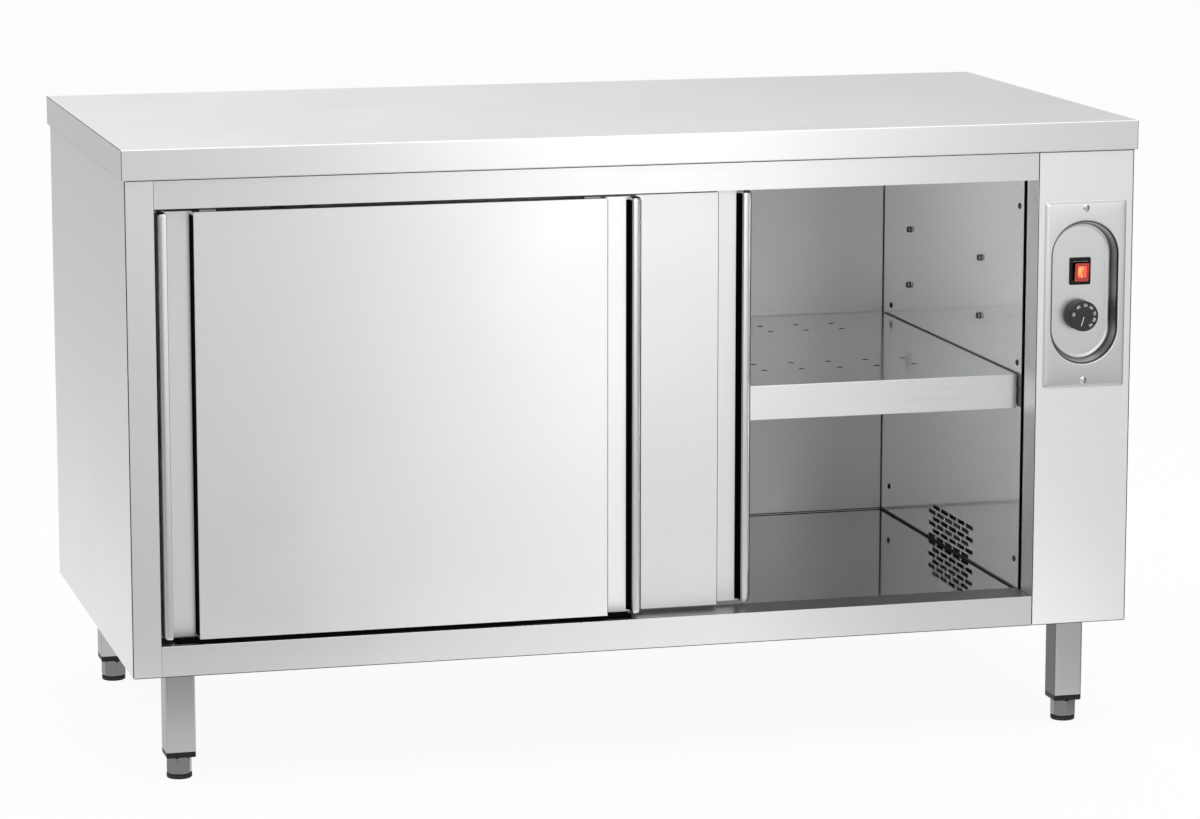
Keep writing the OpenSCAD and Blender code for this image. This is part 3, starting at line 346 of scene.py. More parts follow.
def lit_rocker():
    """The distance from the lamp, halved along Z, goes from 1 to 5 mm while yellow turns to pink."""
    plastic = moulded("clear_red_rocker", "#b8463d", 0.25, shine=0.2)
    tree = plastic.node_tree
    shader = tree.nodes["Principled BSDF"]
    place = add(tree, "TexCoord").outputs["Object"]
    lamp = (LAMP_MID[0] * MM, 0, LAMP_MID[1] * MM)
    spread = add(tree, "VectorMath", {0: place, 1: lamp}, operation="SUBTRACT")
    spread = add(tree, "VectorMath", {0: spread, 1: (1, 0, 0.5)}, operation="MULTIPLY")
    far = add(tree, "VectorMath", {0: spread}, operation="LENGTH")
    core = add(tree, "MapRange", {0: far, 1: 1.0 * MM, 2: 5.0 * MM, 3: 1.0, 4: 0.0}, **SMOOTH)
    tone = add(tree, "Mix", {0: core, 6: "#fb5a48", 7: "#ffc83a"}, data_type="RGBA")
    # The flanks are painted shade: near black, with no glow and no shine
    flank = along(plastic, "Normal", "Y", -0.6, -0.3)
    glow = add(tree, "MapRange", {0: window(plastic, PANEL_MID, *PANEL_HALF), 3: 0.1, 4: 0.85})
    feed(tree, shader, "Specular IOR Level", add(tree, "MapRange", {0: flank, 3: 0.2, 4: 0.0}))
    feed(tree, shader, "Emission Color", tone)
    feed(tree, shader, "Emission Strength", add(tree, "MapRange", {0: flank, 3: glow, 4: 0.0}))
    return blend(plastic, "Base Color", flank, "#0b0303")


# %% [markdown]
# ## Which piece has which finish
#
# The frame names a material slot for each of its pieces. One table gives every slot its finish,
# and a second one lists the few pieces whose sheet differs from the rest of their slot.

# %% Finishes of the frame's pieces
finishes = {
    # Belt-ground sheet with its grain along the cupboard: bright, with upright soft streaks
    "worktop_steel": worktop_with_painted_edge_shade(),
    "body_steel": stainless("satin_panel", "#e8e9e9", 0.34),
    "door_steel": stainless("satin_door", "#ececeb", 0.33),
    # The lining is left as it leaves the mill: smoother and darker, so it mirrors the shelf
    "lining_steel": stainless("mill_lining", "#dcdddc", 0.16, depth=0.01, drawn=0.2, cloud=0.01),
    "shelf_steel": polished_shelf_painted_hole_shade(),
    # Drawn tube, whose grain runs down the leg
    "leg_steel": shaded_tubes(),
    # Finer grain, which runs upwards: the plate looks calmer than the column behind it
    "plate_steel": plate_with_painted_dish_shade(),
    # Buffed after bending: a clear, bright line down each bar
    "grip_steel": stainless("polished_grip", "#f6f6f6", 0.3, grain="Z", depth=0.02, drawn=0.3),
    # Zinc-coated sheet inside the case: dull, with large faint crystals
    "galvanised_steel": stainless("galvanised_sheet", "#a9adb0", 0.45, grain_mm=3, cloud=0.08, drawn=0.0),
    # Turned heads: small and sharp highlights
    "screw_steel": stainless("bright_screw", "#dcdcdc", 0.22, grain_mm=0.8, depth=0.02, drawn=0.0),
    # The heating tube's own heat has scaled it brown and grey
    "heater_steel": stainless("scaled_tube", "#6d6660", 0.5, grain_mm=2, drawn=0.0),
    # Bare copper: warm and shiny, a little mottled
    "probe_copper": moulded("bare_copper", "#c98860", 0.3, metallic=1.0),
    # Stove enamel on the motor: dark, with a soft shine
    "motor_paint": moulded("dark_enamel", "#3c4348", 0.35),
    # Glass-filled polyamide: near black, with a faint satin grain
    "black_plastic": moulded("black_polyamide", "#101112", 0.5, shine=0.3),
    # Nylon rollers: waxy and pale
    "nylon_white": moulded("white_nylon", "#e6e6e0", 0.4),
    # The thermostat's thermoset body: cream, hard and a little dull
    "cream_plastic": moulded("cream_thermoset", "#d9d2bd", 0.5),
    # The knob's spark-eroded mould leaves a fine pitted grain that dulls the highlight
    "knob_plastic": moulded("spark_textured_knob", "#2d2e30", 0.5, grit_mm=0.6, depth=0.5, mottle=0.6),
    "rocker_plastic": lit_rocker(),
    # Rubber under the feet: black, with hardly a highlight
    "pad_rubber": moulded("pad_rubber", "#141414", 0.7),
    # The board under the worktop: brown chips of wood
    "board": moulded("chipboard", "#b0906a", 0.8, grit_mm=3, mottle=0.6),
    # Insulation: dull yellow fibres with deep mottling
    "mineral_wool": moulded("mineral_wool", "#c4b46c", 0.95, grit_mm=2, depth=0.8, mottle=0.7),
}
node_finish = {
    # The rear wall is rougher, its tint darkened as painted shade; the right one catches outside light
    "liner_rear": stainless("dull_rear_lining", "#c4c5c4", 0.5, depth=0.02, drawn=0.2, metallic=0.7),
    "liner_right": stainless("mill_side_lining", "#e0e1e0", 0.09, cloud=0.01, depth=0.01, drawn=0.2,
                             metallic=0.8),
    # The floor, wiped daily, is almost a mirror
    "liner_floor": stainless("mill_floor_lining", "#cccdcc", 0.05, depth=0.01, drawn=0.2, cloud=0.01),
    # The column and the left side get brighter copies of the panel steel: painted light
    "control_column": stainless("satin_column", "#fdfdfd", 0.34),
    "side_left": stainless("satin_side", "#eff0f0", 0.34),
    "left_door_skin": front_door_painted_lower_light(),
    # The rear door stands in the shade of the front one
    "right_door_skin": stainless("satin_rear_door", "#e0e1e0", 0.33),
    "bottom_rail": sill_with_painted_shade(),
    # The guides and the track are darkened as painted shade: only dark lines in the slits
    "floor_guides": moulded("black_guide", "#0c0c0d", 0.6, shine=0.2),
    "door_track": stainless("shaded_track", "#4c4e50", 0.5, grain_mm=3, drawn=0.0),
}
node_slot = {part["node"]: part["material_slot"] for part in frame["record"]["subparts"]}
for name, piece in nodes.items():
    for slot in piece.material_slots:
        slot.material = node_finish.get(name, finishes[node_slot[name]])
print(len(finishes), "finishes on", len(nodes), "pieces")

# %% [markdown]
# ## Shapes from numpy
#
# Most of the new pieces are lofts: a row of closed outlines, one after the other, joined by
# four-sided faces. An outline is a rectangle with rounded corners, which also gives circles
# and round-ended slots. Folded sheet is a line carried along a straight edge, with each corner
# turned into an arc. Sizes are in millimetres until the mesh is made.

# %% Outlines and lofts
def box_mm(node):
    """The low and the high corner of one of the frame's pieces, in millimetres."""
    return [np.array(corner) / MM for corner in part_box(node)]


def outline(width, height, radius, steps=6, ease=0.0):
    """Corner points are the corner's centre plus radius times (cos a, sin a) over a quarter turn.

    With an ease, one more point that far before and after each arc keeps flat sides flat."""
    quarter = np.linspace(0, np.pi / 2, steps)
    parts = []
    for k, (sx, sy) in enumerate(((1, 1), (-1, 1), (-1, -1), (1, -1))):
        a = quarter + k * np.pi / 2
        arc = radius * np.stack([np.cos(a), np.sin(a)], 1)
        arc = arc + [sx * (width / 2 - radius), sy * (height / 2 - radius)]
        if ease:
            before = arc[0] + ease * np.array([np.sin(a[0]), -np.cos(a[0])])
            after = arc[-1] + ease * np.array([-np.sin(a[-1]), np.cos(a[-1])])
            arc = np.vstack([before, arc, after])
        parts.append(arc)
    return np.vstack(parts)


def stand(points, plane, level, centre=(0, 0)):
    """Puts 2-D points into a plane, XY, XZ or YZ, at a level along the third axis."""
    points = np.asarray(points, float) + centre
    level = np.broadcast_to(level, len(points))
    columns = {"XY": (points[:, 0], points[:, 1], level), "XZ": (points[:, 0], level, points[:, 1]),
               "YZ": (level, points[:, 0], points[:, 1])}[plane]
    return np.stack(columns, 1)


def loft(loops, closed=False):
    """Joins each outline to the next; the first and the last are capped, or joined if closed."""
    points = np.array(loops, float)
    count, size = points.shape[:2]
    rows = np.arange(count if closed else count - 1)[:, None] * size
    here = np.arange(size)
    after = np.roll(here, -1)
    quads = np.stack([rows + here, rows + after, rows + size + after, rows + size + here], -1)
    quads = quads.reshape(-1, 4) % (count * size)
    caps = [] if closed else [here[::-1], here + (count - 1) * size]
    return points.reshape(-1, 3), quads, caps


def turned_out(shell):
    """Six times a closed shell's volume is the sum of a . (b x c) over its triangles; if it's
    negative, every face is turned round."""
    points, quads, caps = shell
    triangles = [quads[:, [0, 1, 2]], quads[:, [0, 2, 3]]]
    for cap in caps:
        triangles.append(np.stack([np.full(len(cap) - 2, cap[0]), cap[1:-1], cap[2:]], 1))
    a, b, c = (points[np.vstack(triangles)[:, k]] for k in range(3))
    if np.einsum("ij,ij->", a, np.cross(b, c)) < 0:
        return points, quads[:, ::-1], [cap[::-1] for cap in caps]
    return shell


# %% Folded sheet
def fold_line(path, radius, steps=4, ease=0.4):
    """Each corner becomes an arc about a centre that lies a radius from both its sides.

    Returns the line's points and, at each, the unit normal on its left."""
    path = np.asarray(path, float)
    way = np.diff(path, axis=0)
    way = way / np.linalg.norm(way, axis=1)[:, None]
    left = np.stack([-way[:, 1], way[:, 0]], 1)
    points, normals = [path[:1]], [left[:1]]
    for k in range(1, len(path) - 1):
        side = np.sign(way[k - 1, 0] * way[k, 1] - way[k - 1, 1] * way[k, 0])
        angle = np.arccos(np.clip(way[k - 1] @ way[k], -1, 1))
        cut = radius * np.tan(angle / 2)
        centre = path[k] - way[k - 1] * cut + side * radius * left[k - 1]
        t = side * np.linspace(0, angle, steps + 1)[:, None]
        turned = np.cos(t) * left[k - 1] + np.sin(t) * np.array([-left[k - 1, 1], left[k - 1, 0]])
        points += [path[k:k + 1] - way[k - 1] * (cut + ease), centre - side * radius * turned,
                   path[k:k + 1] + way[k] * (cut + ease)]
        normals += [left[k - 1:k], turned, left[k:k + 1]]
    return np.vstack(points + [path[-1:]]), np.vstack(normals + [left[-1:]])


def sheet_shell(path, thickness, radius, plane, span):
    """Half the thickness is added to and taken from the folded line along its normals, and the
    closed outline is carried from one end of the span to the other."""
    line, normals = fold_line(path, radius)
    ring = np.vstack([line + normals * thickness / 2, (line - normals * thickness / 2)[::-1]])
    loops = [stand(ring, plane, level) for level in span]
    points, quads, _ = loft(loops)
    n = len(line)
    i = np.arange(n - 1)
    cap = np.stack([i, i + 1, 2 * n - 2 - i, 2 * n - 1 - i], 1)
    return points, np.vstack([quads, cap[:, ::-1], cap + 2 * n]), []


# %% From shells to a piece
SHARP_ANGLE = math.radians(35)


def link_object(name, data):
    """A new object for a mesh, camera or lamp, at the origin and in the scene."""
    made = bpy.data.objects.new(name, data)
    scene.collection.objects.link(made)
    return made


def finish_piece(name, mesh, material, body, replaced=()):
    """Smooths a mesh except at its sharp corners, gives it its material, and tells the frame which
    body carries it and which of the frame's pieces it stands for."""
    mesh.polygons.foreach_set("use_smooth", np.ones(len(mesh.polygons), bool))
    mesh.set_sharp_from_angle(angle=SHARP_ANGLE)
    mesh.materials.clear()
    mesh.materials.append(material)
    piece = link_object(name, mesh)
    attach(piece, body)
    if replaced:
        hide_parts(*replaced)
    print(name, len(mesh.polygons), "faces on", body)
    return piece


def add_piece(name, shells, finish, body, replaced=(), moved=None):
    """Joins shells into one mesh in metres; a finish is a slot's name or a material."""
    points, faces, start = [], [], 0
    for shell in shells:
        shell_points, quads, caps = turned_out(shell)
        points.append(shell_points)
        faces += (quads + start).tolist() + [(cap + start).tolist() for cap in caps]
        start += len(shell_points)
    points = np.vstack(points)
    if moved is not None:
        points = moved(points)
    mesh = bpy.data.meshes.new(name)
    mesh.from_pydata((points * MM).tolist(), [], faces)
    mesh.update()
    slot = finish if isinstance(finish, str) else None
    finish_piece(name, mesh, finishes[finish] if slot else finish, body, replaced)


# %% [markdown]
# ## Worktop
#
# The top is one sheet with its four edges folded down and back under, over a board. Real folds
# have a radius a little under the sheet's thickness, and the corners are welded and ground.
# The profile is listed as how far in from the edge and how high, and it is carried round the
# rectangle as one loft, with a tight radius at the folds. The sheet's middle stays flat, so the
# profile's first and last points, well inside the edge, are simply capped.

# %% Worktop
def arc_points(radius, steps=5):
    """Points of a quarter turn as (1 - cos a, 1 - sin a) times the radius, from edge to face."""
    a = np.linspace(0, np.pi / 2, steps)
    return np.stack([radius * (1 - np.cos(a)), radius * (1 - np.sin(a))], 1)


low, high = box_mm("worktop")
size = high - low
FOLD_R = 0.9
SHEET = 1.2
RETURN = 25
OPENING = 40
rounded = arc_points(FOLD_R)
profile = ([(OPENING, high[2]), (FOLD_R + 1, high[2])]
           + [(d, high[2] - h) for d, h in rounded[::-1]]
           + [(0, high[2] - FOLD_R - 1), (0, low[2] + FOLD_R + 1)]
           + [(d, low[2] + h) for d, h in rounded]
           + [(RETURN, low[2]), (RETURN, low[2] + SHEET), (SHEET + 1, low[2] + SHEET),
              (SHEET, low[2] + SHEET + 1), (SHEET, high[2] - SHEET - 1), (SHEET + 1, high[2] - SHEET),
              (OPENING, high[2] - SHEET)])
loops = [stand(outline(size[0] - 2 * d, size[1] - 2 * d, 0.9, steps=4, ease=0.5), "XY", z)
         for d, z in profile]
add_piece("folded_worktop", [loft(loops)], "worktop_steel", "cabinet", ["worktop"])

# %% [markdown]
# ## Folded panels
#
# The side, the rails, the control column, the shelf and the door skins are right in the frame
# but for their folds, which are sharp there. A copy of each has its loose triangles merged and
# its flat faces joined, and then only the long outer edges between two wide faces are bevelled.
# The cut edges of the sheet stay sharp, as a guillotine leaves them.

# %% Ease the folds
EASE_R = 1.3
LONG_EDGE = 15
WIDE_FACE = 4


def eased(node, body):
    """Copies a node's mesh and bevels each long convex edge between two wide faces, where a face's
    width is its area divided by the edge's length."""
    mesh = nodes[node].data.copy()
    work = bmesh.new()
    work.from_mesh(mesh)
    bmesh.ops.remove_doubles(work, verts=work.verts, dist=0.001 * MM)
    bmesh.ops.dissolve_limit(work, angle_limit=math.radians(1), verts=work.verts, edges=work.edges)
    weight = work.edges.layers.float.new("bevel_weight_edge")
    for edge in work.edges:
        if len(edge.link_faces) == 2 and edge.is_convex and edge.calc_face_angle() > 1:
            length = edge.calc_length()
            width = min(face.calc_area() for face in edge.link_faces) / length
            if length > LONG_EDGE * MM and width > WIDE_FACE * MM:
                edge[weight] = 1.0
    work.to_mesh(mesh)
    work.free()
    if "custom_normal" in mesh.attributes:
        mesh.attributes.remove(mesh.attributes["custom_normal"])
    material = node_finish.get(node, finishes[node_slot[node]])
    piece = finish_piece("folded_" + node, mesh, material, body, [node])
    bevel = piece.modifiers.new("fold", "BEVEL")
    bevel.limit_method = "WEIGHT"
    bevel.width = EASE_R * MM
    bevel.segments = 3
    bevel.harden_normals = True


for node in ("side_left", "side_right", "header_rail", "bottom_rail", "control_column"):
    eased(node, "cabinet")
eased("shelf", "shelf")
for side in ("left", "right"):
    eased(side + "_door_skin", side + "_door")

# %% [markdown]
# ## Grip bars
#
# At each end of a door stands a bar. Its front is flat beside the finger channel and rolls over
# in a wide curve towards the door's end, where it mirrors a dark side of the room. It is a loft
# of its outline in plan, going up: near both ends the outline draws in by the depth of a quarter
# circle, so that the ends are domed.

# %% Grip bars
BAR_W = 12
BAR_DEPTH = 23
BAR_END_R = 3.5
BAR_INNER_R = 1.2
BAR_OUTER_R = 7.5


def bar_shell(x, y, z0, z1, outward):
    """At a distance t from an end the outline shrinks by R - sqrt(R^2 - (R - t)^2). The corner on
    the door's outer side, outward times X, has the large radius."""
    t = BAR_END_R * (1 - np.cos(np.linspace(0, np.pi / 2, 6)))
    shrink = BAR_END_R - np.sqrt(BAR_END_R ** 2 - (BAR_END_R - t) ** 2)
    levels = np.concatenate([z0 + t, [z0 + 6, z1 - 6], z1 - t[::-1]])
    shrinks = np.concatenate([shrink, [0, 0], shrink[::-1]])
    a = np.linspace(np.pi, 1.5 * np.pi, 8)
    loops = []
    for level, q in zip(levels, shrinks):
        half = BAR_W / 2 - q
        corners = []
        for way in (-1, 1):
            r = (BAR_OUTER_R if way == outward else BAR_INNER_R) - 0.25 * q
            arc = np.stack([-half + r + r * np.cos(a), q + r + r * np.sin(a)], 1)
            corners.append(arc if way < 0 else arc[::-1] * (-1, 1))
        front = np.vstack(corners)
        back = q + BAR_OUTER_R + 0.5
        sides = np.array([[half, back], [half, BAR_DEPTH], [-half, BAR_DEPTH], [-half, back]])
        loops.append(stand(np.vstack([front, sides]), "XY", level, (x, y)))
    return loft(loops)


for side in ("left", "right"):
    low, high = box_mm(side + "_door_handles")
    bars = [bar_shell(x, low[1], low[2], high[2], outward)
            for x, outward in ((low[0] + BAR_W / 2, -1), (high[0] - BAR_W / 2, 1))]
    add_piece(side + "_door_grips", bars, "grip_steel", side + "_door", [side + "_door_handles"])

# %% [markdown]
# ## Painted shade in the finger channels
#
# Beside each grip bar a finger channel runs down the door, and its corner reads black. It could
# be left to the render's own shade, but bright steel mirrors light into such a corner. Here the
# shade is painted: a black strip, folded into an L, lines both corners of every channel.

# %% Channel shade strips
CHANNEL = (12, 47)
CHANNEL_FLOOR = 19
SHADE_STRIP_T = 0.5
# Near black, for painted shade in the channels, the lining's slit and the slit under the front door
black_shade_strip = moulded("black_painted_shade_strip", "#050505", 0.9, shine=0.05)


def shade_strip_shell(wall_x, floor_x, front, z):
    """An L in plan: along the channel's floor to the wall, then forward along the wall."""
    inside = np.sign(floor_x - wall_x) * SHADE_STRIP_T / 2
    path = [(floor_x, CHANNEL_FLOOR - SHADE_STRIP_T / 2), (wall_x + inside, CHANNEL_FLOOR - SHADE_STRIP_T / 2),
            (wall_x + inside, front)]
    return sheet_shell(path, SHADE_STRIP_T, 0.5, "XY", z)


for side in ("left", "right"):
    low, high = box_mm(side + "_door_handles")
    width = high[0] - low[0]
    front_y = low[1]
    z = (low[2] + 3, high[2] - 5)
    shade_strips = [shade_strip_shell(CHANNEL[1], CHANNEL[1] - 2.5, 1.8, z),
             shade_strip_shell(CHANNEL[0], CHANNEL[0] + 2, 6.5, z),
             shade_strip_shell(width - CHANNEL[1], width - CHANNEL[1] + 2, 1.8, z),
             shade_strip_shell(width - CHANNEL[0], width - CHANNEL[0] - 5, 6.5, z)]
    add_piece(side + "_door_shade_strips", shade_strips, black_shade_strip, side + "_door",
              moved=lambda p, at=(low[0], front_y, 0): p + at)

# %% [markdown]
# ## Painted shade in the joints
#
# Where two folded sheets meet, and along the worktop's edges, the real cupboard shows a fine
# dark line of shade in the gap. A gap that narrow would need the sheets to be cut back, so each
# line is painted shade instead: a slender dark strip that stands a little proud. The slit between
# the lining and the front frame, which would let light through, gets a wider black strip of
# painted shade.

# %% Joint shade lines
# Dark grey for painted shade in the joints and at the doors' folds, and for the studs' painted dark
# reflections
painted_dark_grey = moulded("dark_painted_grey", "#303132", 0.7, shine=0.2)


def upright(x, y, width, z0, z1):
    """A slender upright strip."""
    return loft([stand(outline(width, 1.2, 0.3, 3), "XY", z, (x, y)) for z in (z0, z1)])


def level_strip(plane, ends, at, width, height):
    """A slender strip that lies along X (plane YZ) or along Y (plane XZ)."""
    return loft([stand(outline(width, height, 0.3, 3), plane, end, at) for end in ends])


UPRIGHTS = (
    (-695.5, -345.6, 1.3, 151.5, 809.5),  # the body's front corners
    (695.4, -345.6, 1.3, 151.5, 809.5),
    (558.7, -345.6, 1.2, 152, 809.5),  # beside the control column
    (557.3, 313.3, 1.3, 189, 771),  # the inside's rear right corner
    (-699.54, -349.38, 0.9, 811, 849),  # the worktop's front corners
    (699.54, -349.38, 0.9, 811, 849))
LEVELS = (
    ("YZ", (-694, 695.5), (-345.7, 809.2), 1.2, 1.3),  # under the worktop
    ("YZ", (-694, 695.5), (-345.7, 150.5), 1.0, 1.0),  # the body's lower edge
    ("YZ", (-657, 557), (313.5, 189.4), 1.2, 1.2),  # inside, behind the floor
    ("XZ", (-289, 313), (556.9, 189.2), 2.0, 1.8),  # inside, right of the floor
    ("XZ", (-349.5, 349.5), (-699.56, 849.56), 0.86, 0.86))  # the worktop's left edge
seams = [upright(*line) for line in UPRIGHTS] + [level_strip(*line) for line in LEVELS]
add_piece("painted_joint_shade", seams, painted_dark_grey, "cabinet")
# A wider black strip paints the shade in the slit beside the lining
add_piece("lining_gap_shade_strip", [upright(560.2, -290.9, 4.2, 188.5, 771.5)], black_shade_strip, "cabinet")
for side in ("left", "right"):
    low, high = box_mm(side + "_door_handles")
    # Dark strips at the panel's fold and at the bar's outer end: painted shade
    fold = upright(high[0] - CHANNEL[1] - 0.5, low[1] + 0.55, 1.1, low[2] + 1, high[2] - 1)
    edge = upright(high[0] - 0.5, low[1] + 4.2, 1.0, low[2] + 4, high[2] - 4)
    add_piece(side + "_door_fold_shade_lines", [fold, edge], painted_dark_grey, side + "_door")

# %% [markdown]
# ## Painted shade under the front door
#
# The slit between the front door and the rail is painted black as shade: a black strip under the
# door, which slides with it and stops a millimetre above the rail.

# %% Slit shade strip
low, high = box_mm("left_door_skin")
rail_top = box_mm("bottom_rail")[1][2]
SLIT_SHADE_GAP = 1
SLIT_SHADE_Y = (1.5, 3.5)
slit_shade_outline = outline(high[0] - low[0] - 4, low[2] - rail_top, 0.4, 3)
middle = ((low[0] + high[0]) / 2, (low[2] + rail_top) / 2 + SLIT_SHADE_GAP)
slit_shade = loft([stand(slit_shade_outline, "XZ", low[1] + behind, middle) for behind in SLIT_SHADE_Y])
add_piece("left_door_slit_shade", [slit_shade], black_shade_strip, "left_door")

# %% [markdown]
# ## Control plate
#
# The plate is pressed from sheet: a low bevel round its edge, a flat, and a round-ended dish
# whose rim is rolled over and whose floor meets the wall in a fillet. One loft makes it all,
# from the middle of the floor out to the edge and back behind.

# %% Control plate
PLATE_MID = (627.0, 611.5)
PLATE_SIZE = (118, 258)
DISH_SIZE = (94, 195)
WALL_LEAN = math.radians(76)
ROLL_R = 3.0
FILLET_R = 4.5
STEPS = 16

turn = np.linspace(0, WALL_LEAN, 8)
rolled = np.stack([ROLL_R * (1 - np.sin(turn)), ROLL_R * (1 - np.cos(turn))], 1)
lean = 1 / np.tan(WALL_LEAN)
foot_depth = DISH_DEPTH - FILLET_R * (1 - np.cos(WALL_LEAN))
foot_out = rolled[-1, 0] - (foot_depth - rolled[-1, 1]) * lean
back_turn = turn[::-1]
fillet = np.stack([foot_out - FILLET_R * (np.sin(WALL_LEAN) - np.sin(back_turn)),
                   DISH_DEPTH - FILLET_R * (1 - np.cos(back_turn))], 1)
dish = np.vstack([[ROLL_R + 0.5, 0], rolled, fillet, [fillet[-1, 0] - 0.5, DISH_DEPTH], [-20, DISH_DEPTH],
                  [-44, DISH_DEPTH]])
way = np.gradient(dish, axis=0)
way = way / np.linalg.norm(way, axis=1)[:, None]
dish_back = dish + 1.0 * np.stack([way[:, 1], -way[:, 0]], 1)
dish_back[0] = (ROLL_R + 1.5, 1.5)


def dish_loop(out, depth):
    """The dish's outline, moved out or in and back from the plate's face."""
    w, h = DISH_SIZE[0] + 2 * out, DISH_SIZE[1] + 2 * out
    return stand(outline(w, h, w / 2 - 0.001, STEPS), "XZ", PLATE_FACE + depth, DISH_MID)


def plate_loop(inset, depth, radius):
    """The plate's outline, moved in from its edge and back from its face."""
    return stand(outline(PLATE_SIZE[0] - 2 * inset, PLATE_SIZE[1] - 2 * inset, radius, STEPS), "XZ",
                 PLATE_FACE + depth, PLATE_MID)


edge = [plate_loop(*step) for step in ((5.6, 0, 2), (5.2, 0.03, 2), (0.8, 0.55, 3.6), (0.2, 0.8, 3.9),
                                       (0, 1.1, 4), (0, 1.5, 4))]
loops = [dish_loop(*p) for p in dish[::-1]] + edge + [dish_loop(*p) for p in dish_back]
add_piece("pressed_control_plate", [loft(loops)], "plate_steel", "cabinet", ["control_plate"])

# %% [markdown]
# ## Screws
#
# A domed screw is a height over a disc: a cap of a sphere, less a cross-shaped recess with
# sloping walls. The same function gives the two screws of the plate and those in the lining
# and the rear panel, with fewer points for those that are small in view.

# %% Screws
def screw_shell(at, facing, head_r, head_h, turn_deg, spokes=24, rings=8):
    """Height is the sphere's cap minus the recess: deep where both |min(u, v)| is under the slot's
    half-width and |max(u, v)| under its length, with soft steps between."""
    ball = (head_r ** 2 + head_h ** 2) / (2 * head_h)
    r = head_r * np.linspace(1, 0.04, rings)[:, None]
    a = np.linspace(0, 2 * np.pi, spokes, endpoint=False)[None, :]
    u, v = r * np.cos(a), r * np.sin(a)
    height = np.sqrt(ball ** 2 - r ** 2 + 0 * a) - (ball - head_h)
    b = a + math.radians(turn_deg)
    p, q = np.abs(r * np.cos(b)), np.abs(r * np.sin(b))
    slot = np.clip((0.17 * head_r - np.minimum(p, q)) / (0.07 * head_r), 0, 1)
    ends = np.clip((0.62 * head_r - np.maximum(p, q)) / (0.12 * head_r), 0, 1)
    height = np.maximum(height - 0.5 * head_h * slot * ends, 0)
    out = np.array(facing, float)
    side = np.cross(out, (0, 0, 1))
    grid = np.array(at) + u[..., None] * side + v[..., None] * np.array((0, 0, 1))
    return loft(list(grid + height[..., None] * out))


PLATE_HEAD = (5, 2.4)
CASE_HEAD = (4.75, 2.6)
LINING_WALLS = ((-658, 1), (558, -1))
REAR_FACE = 346
plate_heads = [screw_shell((PLATE_MID[0], PLATE_FACE, z), (0, -1, 0), *PLATE_HEAD, spin, 48, 16)
               for z, spin in ((731, 30), (492, 75))]
add_piece("plate_screw_heads", plate_heads, "screw_steel", "cabinet", ["plate_screws"])

dark_screw = stainless("blackened_screw", "#303133", 0.2, grain_mm=0.8, depth=0.02, drawn=0.0)
WALL_SCREWS = [(y, z) for y in (-273, 275) for z in (230, 508, 727)]
case_heads = [screw_shell((x, y, z), (way, 0, 0), *CASE_HEAD, 37 * k)
              for x, way in LINING_WALLS for k, (y, z) in enumerate(WALL_SCREWS)]
case_heads += [screw_shell((x, REAR_FACE, z), (0, 1, 0), *CASE_HEAD, x + z)
               for x in (-685, 685) for z in (175, 480, 785)]
add_piece("case_screw_heads", case_heads, dark_screw, "cabinet", ["case_screws"])

# %% [markdown]
# ## Shelf studs
#
# The shelf hangs on one row of studs, and two more rows stay free. A stud is a turned steel
# pin, bright on its shank, between a washer at the wall and an end that are painted dark grey:
# painted dark reflections of the polished steel.

# %% Shelf studs
STUDS = [(x, way, y, z) for x, way in LINING_WALLS for y in (-117, 191) for z in (468, 551, 634)]


def pin(x, way, y, z, steps):
    """Circles about the stud's axis, each a radius and a distance out from the wall."""
    loops = [stand(outline(2 * r, 2 * r, r - 0.0005, 6), "YZ", x + way * out, (y, z)) for r, out in steps]
    return loft(loops)


shanks = [pin(*stud, ((2, -3), (2, 1), (3.8, 1.4), (3.8, 3.6), (2, 3.8))) for stud in STUDS]
add_piece("stud_shanks", shanks, "screw_steel", "cabinet", ["shelf_studs"])
# Washers and ends in dark grey: painted dark reflections of the polished stud
ends = [pin(*stud, ((4.6, 0), (4.7, 0.3), (4.7, 1.3), (4.4, 1.7))) for stud in STUDS]
ends += [pin(*stud, ((4.1, 3.2), (4.5, 3.4), (4.5, 4.1), (3.8, 4.6), (1.5, 4.7))) for stud in STUDS]
add_piece("stud_washers_and_ends", ends, painted_dark_grey, "cabinet")

# %% [markdown]
# ## Switch
#
# A lit rocker switch: a black snap-in bezel with a rounded face, and a clear red rocker that
# glows from the lamp behind it. Its face dips in the middle, and it is tipped so that its lower
# half is pressed in. The two common marks for off and on, a ring and a bar, are printed on it.

# %% Bezel
SWITCH_MID = (627.0, 641.5)
FLOOR_Y = PLATE_FACE + DISH_DEPTH
# Width, height, corner radius, and how far out from the dish's floor, from the well to the back
BEZEL = ((20.9, 26.7, 1.0, -12.0), (20.9, 26.7, 1.0, 0.25), (22, 28, 1.0, 0.25), (22, 28, 1.0, 1.5),
         (22.7, 28.7, 1.2, 2.0), (28.6, 35.6, 1.8, 2.0), (30.2, 37.2, 2.2, 1.75), (31, 38, 2.5, 1.1),
         (31, 38, 2.5, 0), (26, 34, 1, 0), (26, 34, 1, -24))
loops = [stand(outline(w, h, r, 5), "XZ", FLOOR_Y - out, SWITCH_MID) for w, h, r, out in BEZEL]
add_piece("switch_bezel", [loft(loops)], "black_plastic", "cabinet", ["switch_body"])

# %% Rocker
ROCKER_SIZE = (20.6, 26)
ROCKER_FRONT = 10.5
ROCKER_DIP = 1.2
ROCKER_TIP = math.radians(6)
PIVOT = np.array((627.0, -326.0, 641.5))


def rocker_face(z):
    """The face lies ROCKER_FRONT before the pivot, less a dip that falls off with z squared."""
    return -ROCKER_FRONT + ROCKER_DIP * np.clip(1 - (z / 12.3) ** 2, 0, 1)


